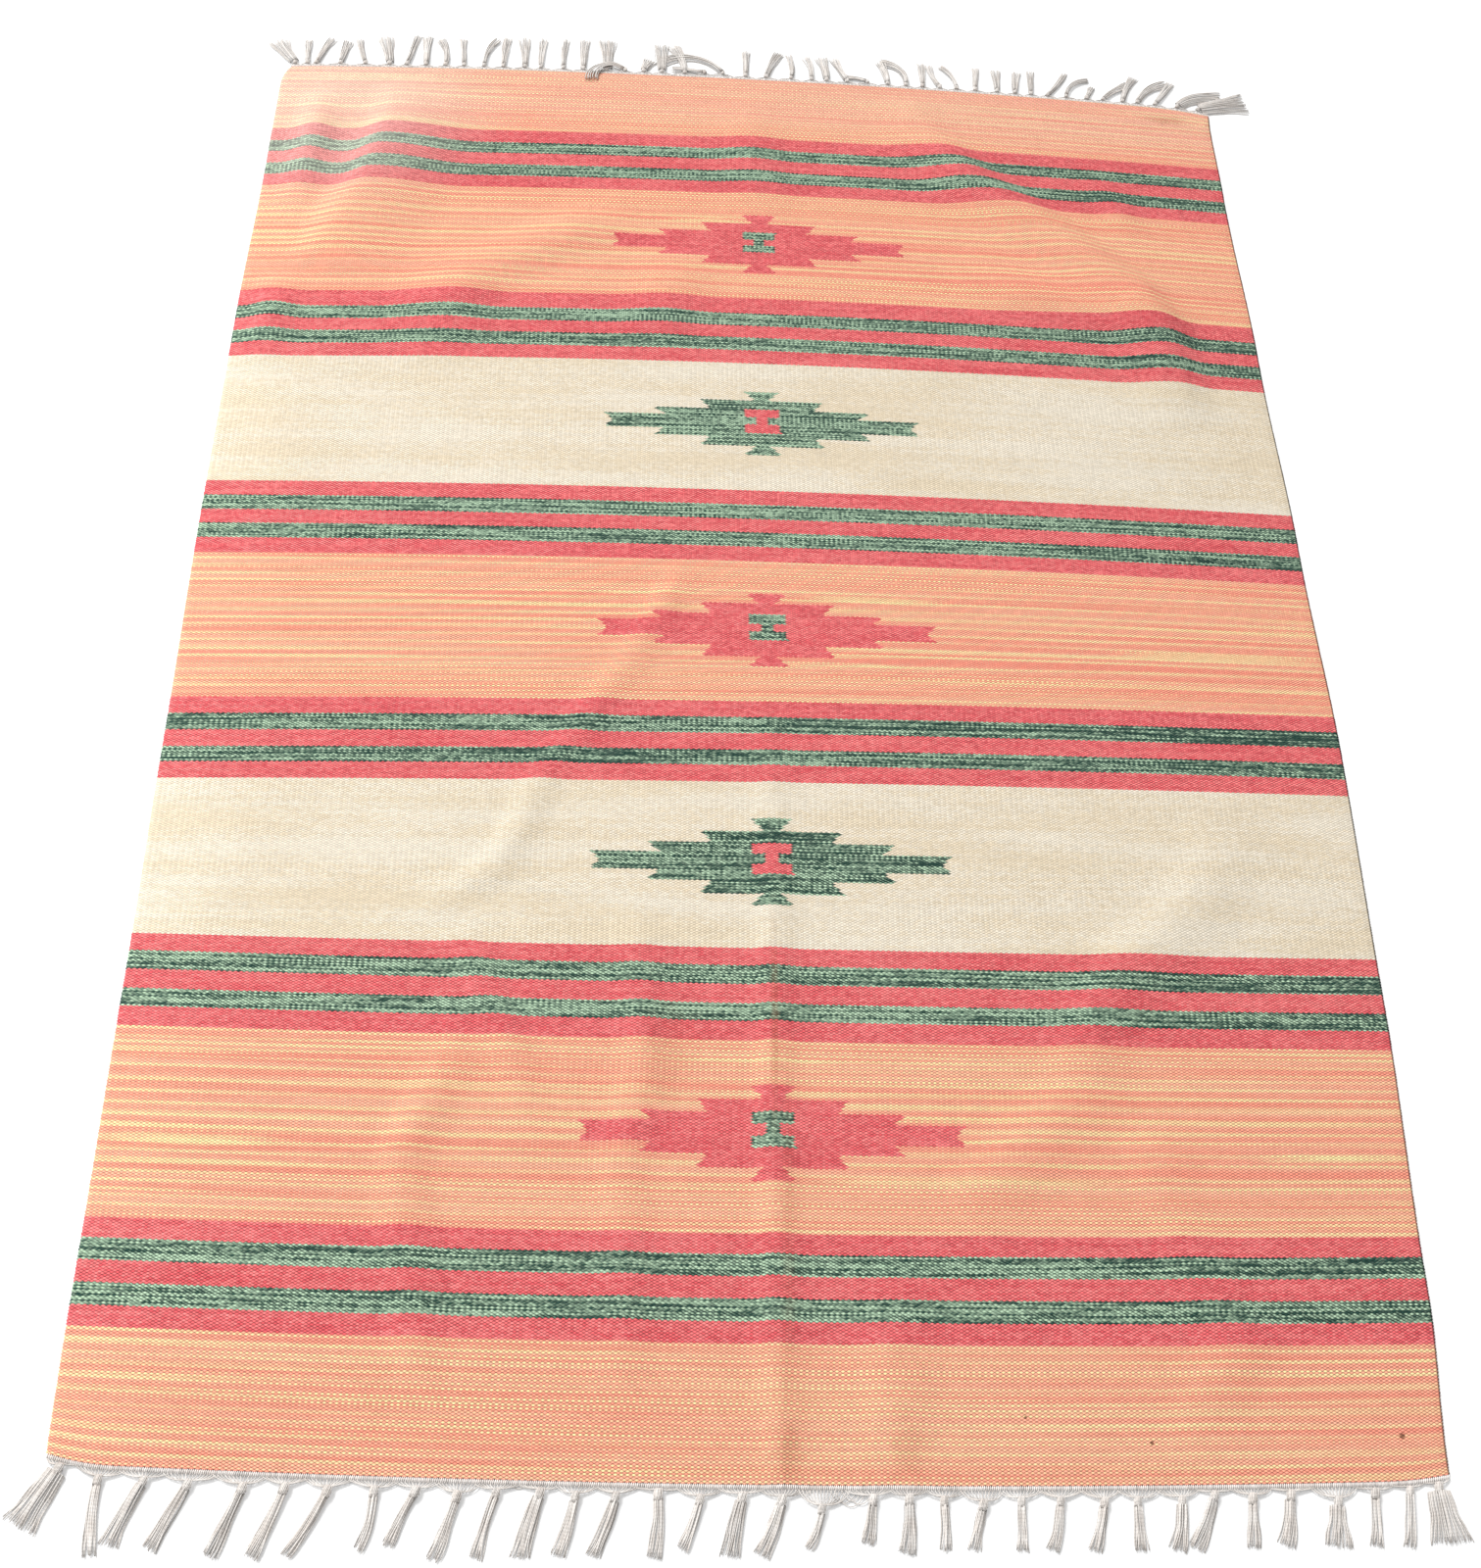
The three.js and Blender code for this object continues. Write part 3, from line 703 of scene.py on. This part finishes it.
def green_colour(m, bead, pattern):
    """A light and a dark yarn twisted together.

    Where the twist keeps step with the warps, light rows and dark rows lie in turn, and
    elsewhere it makes slanting flecks.
    """
    in_step = (m.clouds(m.u * 6, bead.row * 0.45, 5.0) - 0.5) * 8
    in_turn = (bead.odd * 2 - 1) * (in_step.blur(-1.0, 1.0) * 2 - 1)
    slant = (m.clouds(m.u * 9, m.v * 30, 6.0, detail=1.0) > 0.5) * 2 - 1
    fleck = m.u / (2 * WARP_PITCH) + slant * m.v / (2 * PICK_PITCH)
    row_tone = (m.clouds(m.u * 4, bead.row * 0.6, 8.0) - 0.5) * 1.2
    darker = m.u.blur(0.20, 0.50) * 0.30 + pattern.on_ground(4) * 0.22
    light = (in_turn * 0.72 + row_tone - darker + (fleck * (2 * math.pi)).sine() * 0.42
             - bead.over_warp * 0.06 + (bead.random(5.0) - 0.5) * 1.2)
    return m.blend(light.blur(-1.0, 1.05), GREEN_DARK, GREEN_LIGHT)


def red_colour(m, bead):
    cloud = (m.clouds(m.u * 5, bead.row * 0.6, 2.0, roughness=0.6) * 0.5
             + m.clouds(bead.s * 7, bead.t * 22, roughness=0.6) * 0.25
             + bead.random(6.0) * 0.25)
    return m.blend(cloud.blur(0.26, 0.74), RED, RED_DEEP)


def away_from(m, s, t, half_s, half_t):
    """How far a point is from (s, t), as a share of the two half sizes."""
    return (((m.u - s) / half_s) ** 2 + ((m.v - t) / half_t) ** 2).root()


def painted_light_and_marks(m, bead, colour):
    """The colour with painted light and shade, the smudges and the specks."""
    # Painted light: paler round the far left corner. The far end is paler too, and each bead a little
    # lighter or darker at random.
    to_corner = away_from(m, *LIT_CORNER, LIT_REACH, LIT_REACH)
    paler_far_end = m.v.blur(0.78, 0.86) * 0.11
    painted_light_and_paling = (-to_corner.blur(0.2, 1.2) + 1) * 0.26 + paler_far_end + (bead.random(8.0) - 0.5) * 0.05
    colour = m.blend(painted_light_and_paling.most(0.0), colour, PALE_TINT)
    ragged = m.noise(m.uv, 70.0, 3.0, 0.6)
    # Brown smudges, and painted shade along and beside the middle fold line.
    for s, t, half_s, half_t, strength in SMUDGES_AND_CREASE_SHADE:
        away = away_from(m, s * MM, t * MM, half_s * MM, half_t * MM) + ragged - 0.5
        colour = m.blend(-away.blur(0.1, 1.1) * strength + strength, colour, BROWN)
    for s, t, radius in SPECKS:
        away = ((m.u - s * MM) ** 2 + (m.v - t * MM) ** 2).root()
        colour = m.blend(-away.blur(radius * MM * 0.5, radius * MM) * 0.8 + 0.8, colour, STAIN)
    return colour


def weave_material():
    """The whole pattern, worked out bead by bead on the (s, t) of the cloth."""
    m = Material("dyed_weave", "cloth")
    bead = Beads(m)
    pattern = Pattern(bead)
    colour = ground_colour(m, bead, pattern)
    colour = m.blend(pattern.green, colour, green_colour(m, bead, pattern))
    colour = m.blend(pattern.red, colour, red_colour(m, bead))
    colour = painted_light_and_marks(m, bead, colour)

    # Each bead is domed, and painted shade darkens it where it goes down between two warps,
    # less so in cream.
    pale = pattern.cream * (-pattern.green + 1) * (-pattern.red + 1)
    gap_shade = (bead.dome - DOME_MEAN) * (-pale * 0.62 + 0.95)
    # Painted light and shade in stripes along the warps, for the ribs of the weave.
    rib_shade = m.clouds(m.u * 4, m.v * 22, 4.0).blur(0.36, 0.64) * 0.06 + 0.035
    rib_shade = bead.over_warp * rib_shade * (pale * 0.15 + 0.4)
    uneven_dye = ((bead.random() - 0.5) * (pattern.red * 0.12 + 0.12) + 0.06
                  + m.random(bead.row, 3.0) * 0.03)
    fibres = m.noise(m.vector(m.u, m.v * 2.5), 1800.0, 3.0, 0.65)
    cloud = m.noise(m.uv, 14.0, 3.0, 0.6)
    tone = gap_shade + uneven_dye + fibres * 0.09 + cloud * 0.05 - rib_shade + 0.66
    # Painted light: brighter towards the left edge, the side the light comes from.
    painted_light_left = (-m.u).blur(0.48, 0.60) * 0.10 + 1
    # Painted shadow along both edges, stronger on the right.
    painted_edge_shadow = m.u.blur(*RIGHT_EDGE_SHADOW) * 0.80 + (-m.u).blur(*LEFT_EDGE_SHADOW) * 0.25
    brightness = tone * painted_light_left * (-painted_edge_shadow + 1)
    return m.finish(m.shade(colour, brightness), bead.dome + fibres * 0.12, BEAD_RELIEF)


# The two plies of a warp turn round each other once in PLY_LENGTH.
PLY_LENGTH = 3.2 * MM
YARN_RELIEF = 0.12 * MM


def cotton_material(name, light, dark, flank_shade):
    """Undyed warp yarn of two plies. Its map is (turns round the yarn, metres along it).

    The whole turns tell one yarn from the next. The last number is how much painted shade
    darkens the lower half of a yarn, where little light gets in.
    """
    m = Material(name, "yarn")
    place = m.tree.nodes.new("ShaderNodeTexCoord").outputs["Object"]
    ply = (m.v / PLY_LENGTH + m.u).wave()
    fibres = m.noise(place, 1400.0, 3.0, 0.65)
    cloud = m.noise(place, 60.0, 3.0, 0.6)
    colour = m.blend(cloud.blur(0.3, 0.72), light, dark)
    # Painted shade: the lower half of each yarn darker and its top lighter, and the grooves between
    # the plies a little darker.
    upper = (m.u * (2 * math.pi)).sine().blur(-0.5, 0.9)
    tone = m.random(m.u.floor(), 1.0).root()
    brightness = (upper * flank_shade + ply ** 0.5 * 0.12 + fibres * 0.14 + tone * 0.34
                  + 0.54 - flank_shade)
    return m.finish(m.shade(colour, brightness), ply + fibres * 0.3, YARN_RELIEF)


WEAVE = weave_material()
COTTON = cotton_material("warp_cotton", colour_of(241, 236, 231), colour_of(225, 217, 210), 0.70)
HEADING_COTTON = cotton_material("heading_cotton", colour_of(252, 247, 243),
                                 colour_of(238, 230, 224), 0.40)


# ---------------- the woven field
EDGE_ROUND = 1.5 * MM
END_ROUND = 0.3 * MM
THINNEST = 0.12
ROUNDING_LINES = np.array([0, 0.12, 0.45])
FIELD_COLUMNS = 144
FIELD_ROWS = 280
# Where each side of the field lies on the square that its baked picture fills.
ACROSS_SQUARE = (0.005, 0.995)
TOP_OF_SQUARE = (0.005, 0.835)
UNDER_OF_SQUARE = (0.845, 0.955)
RIM_OF_SQUARE = (0.965, 0.995)


def field_thickness(s):
    """Even, and rounded off along the two selvedges."""
    inside = np.clip((HALF_WIDTH - np.abs(s)) / EDGE_ROUND, 0, 1)
    return CLOTH_THICK * np.maximum(np.sqrt(1 - (1 - inside) ** 2), THINNEST)


def on_square(across, up, room):
    """Shares of the way across and up a side, as places in its room on the square."""
    return np.stack([mix(*ACROSS_SQUARE, across), mix(*room, up)], 1)


def make_field():
    """A closed sheet, with lines of points set close where its edges are rounded."""
    rounding = HALF_WIDTH - EDGE_ROUND * ROUNDING_LINES
    inner = HALF_WIDTH - EDGE_ROUND
    s_lines = np.concatenate([-rounding, np.linspace(-inner, inner, FIELD_COLUMNS), rounding[::-1]])
    inner_length = HALF_LENGTH - END_ROUND
    t_lines = np.concatenate([[-HALF_LENGTH], np.linspace(-inner_length, inner_length, FIELD_ROWS),
                              [HALF_LENGTH]])
    s, t = np.meshgrid(s_lines, t_lines)
    rows, columns = s.shape
    cells = rows * columns
    thick = field_thickness(s)
    bottom = lay_cloth(s, t)
    top = bottom.copy()
    bottom[..., 2] += (CLOTH_THICK - thick) / 2
    top[..., 2] += (CLOTH_THICK + thick) / 2
    points = np.concatenate([bottom.reshape(-1, 3), top.reshape(-1, 3)])
    quads = grid_faces(rows, columns)
    under, upper, rim = quads[:, ::-1], quads + cells, rim_faces(rows, columns, cells)
    faces = np.concatenate([under, upper, rim])

    flat = np.tile(np.stack([s.ravel(), t.ravel()], 1), (2, 1))
    share = (flat - flat.min(0)) / np.ptp(flat, axis=0)
    ahead = (np.arange(len(rim)) + np.array([[0], [1], [1], [0]])).T / len(rim)
    up = np.broadcast_to([0, 0, 1, 1], ahead.shape)
    square = np.concatenate([on_square(*share[under.ravel()].T, UNDER_OF_SQUARE),
                             on_square(*share[upper.ravel()].T, TOP_OF_SQUARE),
                             on_square(ahead.ravel(), up.ravel(), RIM_OF_SQUARE)])
    maps = {"cloth": flat[faces.ravel()], "OFBake": square}
    return make_piece("woven_field", points, faces, maps, WEAVE)


SELVEDGE_INSET = 0.7 * MM
LOOP_HALF_LENGTH = 1.04 * PICK_PITCH
LOOP_HALF_HEIGHT = 1.55 * MM


def make_selvedge(name, side):
    """The weft turning back round the outermost warp, one loop for every two rows."""
    yarns = Yarns()
    loops = int(CLOTH_LENGTH / (2 * PICK_PITCH))
    s = side * (HALF_WIDTH - SELVEDGE_INSET)
    t = (np.arange(loops) + 0.5) * 2 * PICK_PITCH - HALF_LENGTH
    places = lay_cloth(s, t)
    ahead = lay_cloth(s, t + MM) - lay_cloth(s, t - MM)
    ahead /= np.linalg.norm(ahead, axis=1)[:, None]
    for k in range(loops):
        wide = (1.3 + 0.5 * uneven(k, 11)) * MM
        centre = places[k] + (0, 0, CLOTH_THICK / 2)
        yarns.bead(centre, ahead[k] * LOOP_HALF_LENGTH, (side * wide, 0, 0),
                   (0, 0, LOOP_HALF_HEIGHT), (s, t[k]), spread=True)
    return yarns.piece(name, "cloth", WEAVE)


# ---------------- the white headings
HEADING_RIBS = 690
HEADING_LAP = 0.7 * MM
# The slant of a stitch in degrees, and its half length and half width as shares of its room.
STITCH_SLANT = 9
STITCH_LENGTH, STITCH_WIDTH = 0.56, 0.53
STITCH_YARN = 1.1 * MM


def make_heading(name, side):
    """Twined stitches side by side over the ends of the warps, lapping the last weft."""
    yarns = Yarns()
    pitch = CLOTH_WIDTH / HEADING_RIBS
    depth = HEADING_DEPTH + HEADING_LAP
    t = side * (HALF_LENGTH + PIECE_GAP + HEADING_DEPTH - depth / 2)
    up = np.array((0, 0, HEADING_THICK / 2))
    for rib in range(HEADING_RIBS):
        s = -HALF_WIDTH + pitch * (rib + 0.5)
        grown = 1 + 0.16 * (uneven(rib, 20) - 0.5)
        slant = math.radians(STITCH_SLANT + 8 * (uneven(rib, 7) - 0.5))
        along = np.array((math.sin(slant), math.cos(slant), 0)) * depth * STITCH_LENGTH * grown
        across = np.array((math.cos(slant), -math.sin(slant), 0)) * pitch * STITCH_WIDTH
        yarns.bead(lay_cloth(s, t) + up, along, across, up * grown, (0, STITCH_YARN * rib),
                   shaded=1.0)
    return yarns.piece(name, "yarn", HEADING_COTTON)


# ---------------- the fringes
WARP_RADIUS = 0.62 * MM
# Half the width of a loose tip to the width in the tables, at the near and the far end.
TIP_SPREAD = {-1: 0.56, 1: 0.66}
# Where the warps leave the heading: how far inside its outer edge and its ends, and how high.
WARP_LAP, END_MARGIN, WARP_LEVEL = 0.8 * MM, 0.5 * MM, 1.7 * MM
# The warps of a tassel take more than its share of the edge, so that tassels cross.
FAN_OVERLAP = 1.24

# The knot, as shares of its size: half its ball along, across and up, how high its middle lies,
# where the warps over it lie across, how thick its yarn is, and the two loops round it (tilt in
# radians, place along it, girth).
KNOT_BALL = (1.05, 0.84, 0.64)
KNOT_LEVEL = 0.72
KNOT_LANES = (-0.80, -0.48, -0.16, 0.16, 0.48, 0.80)
KNOT_YARN = 0.15
KNOT_RINGS = ((0.24, 0.40, 0.80), (-0.12, 0.70, 0.64))

# The tail: strands for each mm of its width, fine stray strands, and how high they pile up.
STRANDS_PER_MM = 0.66
STRAY_STRANDS = 3
PILE_AT_KNOT, PILE_AT_TIP = 4.8 * MM, 1.8 * MM


class Tassel:
    """One row of the tables: angles in radians and sizes in metres."""

    def __init__(self, side, at, lean, curl, wide, length, out=2, rise=0.0):
        self.side = side
        self.at, self.wide, self.length = at * MM, wide * MM, length * MM
        self.out, self.rise = out * MM, rise * MM
        self.lean, self.curl = math.radians(lean), math.radians(curl)


def curved_line(start, tassel, length, steps):
    """Points and headings along a line on the floor that starts at the lean and turns by curl."""
    points, headings = [np.array(start, float)], [tassel.lean]
    for step in range(steps):
        angle = tassel.lean + tassel.curl * (step + 0.5) / steps
        ahead = np.array((math.sin(angle), tassel.side * math.cos(angle)))
        points.append(points[-1] + ahead * length / steps)
        headings.append(tassel.lean + tassel.curl * (step + 1) / steps)
    return np.array(points), np.array(headings)


def slack_line(start, bend, end, steps):
    """Points along a warp that sets out for bend and ends at end. It never dips into the floor."""
    t = np.linspace(0, 1, steps)[:, None]
    path = (1 - t) ** 2 * start + 2 * t * (1 - t) * bend + t ** 2 * end
    path[:, 2] = np.maximum(path[:, 2], WARP_RADIUS)
    return path


def add_fan(yarns, tassel, left, right, knot, size, rng):
    """The warps from left to right of the edge, which sweep sideways into the top of the knot.

    The outermost ones cross over those of the next tassel.
    """
    count = max(6, round((right - left) / WARP_PITCH))
    share = (np.arange(count) + 0.5) / count - 0.5
    edge = tassel.side * (HALF_LENGTH + PIECE_GAP + HEADING_DEPTH - WARP_LAP)
    places = np.clip(mix(left, right, share * FAN_OVERLAP + 0.5), END_MARGIN - HALF_WIDTH,
                     HALF_WIDTH - END_MARGIN)
    roots = lay_cloth(places, edge)
    sags = 0.40 + 0.55 * rng.random(2)
    for k in range(count):
        root = roots[k] + (0, 0, WARP_LEVEL)
        into = knot + (share[k] * size * 1.3, -tassel.side * size * 0.45,
                       0.8 * MM * (1 - 2 * abs(share[k])))
        reach = into[1] - root[1]
        sag = sags[int(share[k] > 0)]
        bend = np.array((mix(root[0], into[0], 0.20 + 0.12 * rng.random()),
                         root[1] + reach * (sag + 0.14 * rng.random()),
                         root[2] + (rng.random() - 0.4) * MM))
        yarns.tube(slack_line(root, bend, into, 7), WARP_RADIUS * 0.85)


def add_knot(yarns, tassel, knot, size, rng):
    """A stubby tapering ball of yarn with warps drawn over it and two loops round its lower end.

    size is about half its width.
    """
    lean = tassel.lean * 0.5
    ahead = np.array((math.sin(lean), tassel.side * math.cos(lean), 0))
    right = np.array((ahead[1], -ahead[0], 0))
    size = size * (1 + 0.16 * (rng.random() - 0.5))
    middle = knot + ahead * 0.35 * size
    half_length, half_width, half_height = KNOT_BALL
    yarns.bead(middle, ahead * half_length * size, right * half_width * size,
               (0, 0, half_height * size), (0, rng.random()), sides=12, rings=5, shaded=0.5)
    along = np.linspace(-1, 1, 6)
    arch = np.sqrt(np.maximum(1 - (0.82 * along) ** 2, 0))
    twist = 0.16 * along * size
    for lane in KNOT_LANES:
        lane = lane + 0.10 * (rng.random() - 0.5)
        path = (middle + ahead * (along * size)[:, None]
                + right * (lane * 0.80 * size * (0.55 + 0.45 * arch) + twist)[:, None])
        path[:, 2] += 0.60 * size * arch * math.sqrt(1 - lane * lane)
        yarns.tube(path, KNOT_YARN * size)
    angle = np.arange(14) * 2 * np.pi / 14
    for tilt, shift, girth in KNOT_RINGS:
        tilt += 0.3 * (rng.random() - 0.5)
        across = right * math.cos(tilt) + ahead * math.sin(tilt)
        ring = (middle + ahead * shift * size + np.cos(angle)[:, None] * across * size * girth * 0.95
                + np.sin(angle)[:, None] * np.array((0, 0, 0.68 * size * girth)))
        yarns.tube(ring, KNOT_YARN * size, closed=True)


def add_tail(yarns, start, tassel, knot_size, rng):
    """The loose ends beyond the knot: strands side by side that spread to the tip."""
    strands = int(4 + tassel.wide / MM * STRANDS_PER_MM)
    parting = 6 * rng.random()
    steps = 7 if abs(tassel.curl) < 0.6 else 12
    share = np.linspace(0, 1, steps + 1)
    pinch = 0.25 + 0.5 * rng.random()
    narrow = 1 - 0.12 * np.exp(-((share - pinch) / 0.2) ** 2)
    half_start = max(0.76 * knot_size, 0.28 * tassel.wide)
    half_tip = tassel.wide * TIP_SPREAD[tassel.side] - WARP_RADIUS
    half = mix(half_start, half_tip, share ** 1.1) * narrow
    climb = tassel.rise * np.clip(share * 4, 0, 1)
    for strand in range(strands + STRAY_STRANDS):
        stray = strand >= strands
        length = tassel.length * (1 + 0.07 * (rng.random() - 0.5))
        line, headings = curved_line(start, tassel, length, steps)
        if stray:
            wide = 2.2 * (rng.random() - 0.5)
        else:
            wide = 2 * (strand + 0.5 + 0.4 * (rng.random() - 0.5)) / strands - 1
            wide += 0.10 * math.sin(6 * wide + parting)
        pile = math.sqrt(max(1 - wide * wide, 0)) * (0.6 + 0.4 * rng.random())
        sway = 0.8 * MM * np.sin(share * (3 + 5 * rng.random()) + 6 * rng.random()) * share
        off = half * wide + sway
        right = np.stack([np.cos(headings), -np.sin(headings) * tassel.side], 1)
        radius = np.full(steps + 1, WARP_RADIUS * (0.35 if stray else 1.06))
        radius[-1] *= 0.6
        layer = (strand % 2) * 0.5 * MM
        level = radius * 1.05 + mix(PILE_AT_KNOT, PILE_AT_TIP, share) * pile + layer
        path = np.concatenate([line + right * off[:, None], (level + climb)[:, None]], 1)
        yarns.tube(path, radius, sides=4 if stray else 6)


def add_loops(yarns, loops, side):
    """Slack warps that hang from the edge as open loops: (from, to, reach) in mm."""
    edge = side * (HALF_LENGTH + HEADING_DEPTH)
    for start, end, reach in loops:
        a, b = (lay_cloth(place * MM, edge) + (0, 0, 1.6 * MM) for place in (start, end))
        low = (a + b) / 2 + (0, side * reach * 2 * MM, -1.0 * MM)
        yarns.tube(slack_line(a, low, b, 9), WARP_RADIUS * 0.8)


def make_fringe(name, side, table, knot_size, knot_half, loops, seed):
    """knot_half is how far beyond the middle of its knot a tail starts."""
    yarns = Yarns()
    rng = np.random.default_rng(seed)
    tassels = [Tassel(side, *numbers) for numbers in table]
    start = HALF_LENGTH + HEADING_DEPTH + 2 * PIECE_GAP + BAR_DEPTH / 2
    middles = [(a.at + b.at) / 2 for a, b in zip(tassels, tassels[1:])]
    ends = [-HALF_WIDTH + END_MARGIN, *middles, HALF_WIDTH - END_MARGIN]
    for tassel, left, right in zip(tassels, ends, ends[1:]):
        root = lay_cloth(tassel.at, side * start)
        knot = np.array((root[0], root[1] + side * tassel.out, KNOT_LEVEL * knot_size))
        add_fan(yarns, tassel, left, right, knot, knot_size, rng)
        add_knot(yarns, tassel, knot, knot_size, rng)
        ahead = np.array((math.sin(tassel.lean), side * math.cos(tassel.lean)))
        add_tail(yarns, knot[:2] + ahead * knot_half, tassel, knot_size, rng)
    add_loops(yarns, loops, side)
    return yarns.piece(name, "yarn", COTTON)


field = make_field()
selvedges = [make_selvedge("selvedge_left", -1), make_selvedge("selvedge_right", 1)]
heading_near = make_heading("white_heading_near", -1)
heading_far = make_heading("white_heading_far", 1)
fringe_near = make_fringe("knotted_fringe_near", -1, NEAR_TASSELS, 4.6 * MM, 4.4 * MM, NEAR_LOOPS, 41)
fringe_far = make_fringe("knotted_fringe_far", 1, FAR_TASSELS, 3.6 * MM, 3 * MM, FAR_LOOPS, 43)

for piece, slot, node in (
        (field, "field_weave", "rug_field"),
        (selvedges[0], "field_weave", None),
        (selvedges[1], "field_weave", None),
        (heading_near, "end_heading", "heading_near"),
        (heading_far, "end_heading", "heading_far"),
        (fringe_near, "warp_fringe", "fringe_near"),
        (fringe_far, "warp_fringe", "fringe_far")):
    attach(piece, "root")
    if node:
        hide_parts(node)


# ---------------- floor and light
WHITE = (1, 1, 1, 1)
FLOOR_REACH = 12.0
# A hair below the cloth, so that the two never share a plane.
FLOOR_LEVEL = -0.05 * MM


def make_floor():
    material = bpy.data.materials.new("pale_floor")
    material.use_nodes = True
    surface = material.node_tree.nodes["Principled BSDF"]
    for name, value in (("Base Color", (0.94, 0.94, 0.94, 1)), ("Roughness", 1.0),
                        ("Specular IOR Level", 0.0), ("Emission Color", WHITE),
                        ("Emission Strength", 0.22)):
        surface.inputs[name].default_value = value
    corners = np.array([(x * FLOOR_REACH, y * FLOOR_REACH, FLOOR_LEVEL)
                        for x, y in ((-1, -1), (1, -1), (1, 1), (-1, 1))])
    make_piece("floor", corners, [np.arange(4)], {}, material)


def make_light():
    world = bpy.data.worlds.new("world")
    world.use_nodes = True
    sky = world.node_tree.nodes["Background"]
    sky.inputs["Color"].default_value = WHITE
    sky.inputs["Strength"].default_value = 0.50
    bpy.context.scene.world = world
    sun = bpy.data.lights.new("window", "SUN")
    sun.energy = 2.35
    sun.angle = math.radians(22)
    add_object("window", sun).rotation_euler = (math.radians(-38), math.radians(-30), 0)
    panel = bpy.data.lights.new("soft_panel", "AREA")
    panel.shape = "RECTANGLE"
    panel.size, panel.size_y = 1.2, 3.0
    panel.energy = 26
    stand = add_object("soft_panel", panel)
    stand.location = (-1.9, 0.1, 1.3)
    stand.rotation_euler = (0, math.radians(-52), 0)


make_floor()
make_light()
bpy.context.scene.view_settings.view_transform = "Standard"
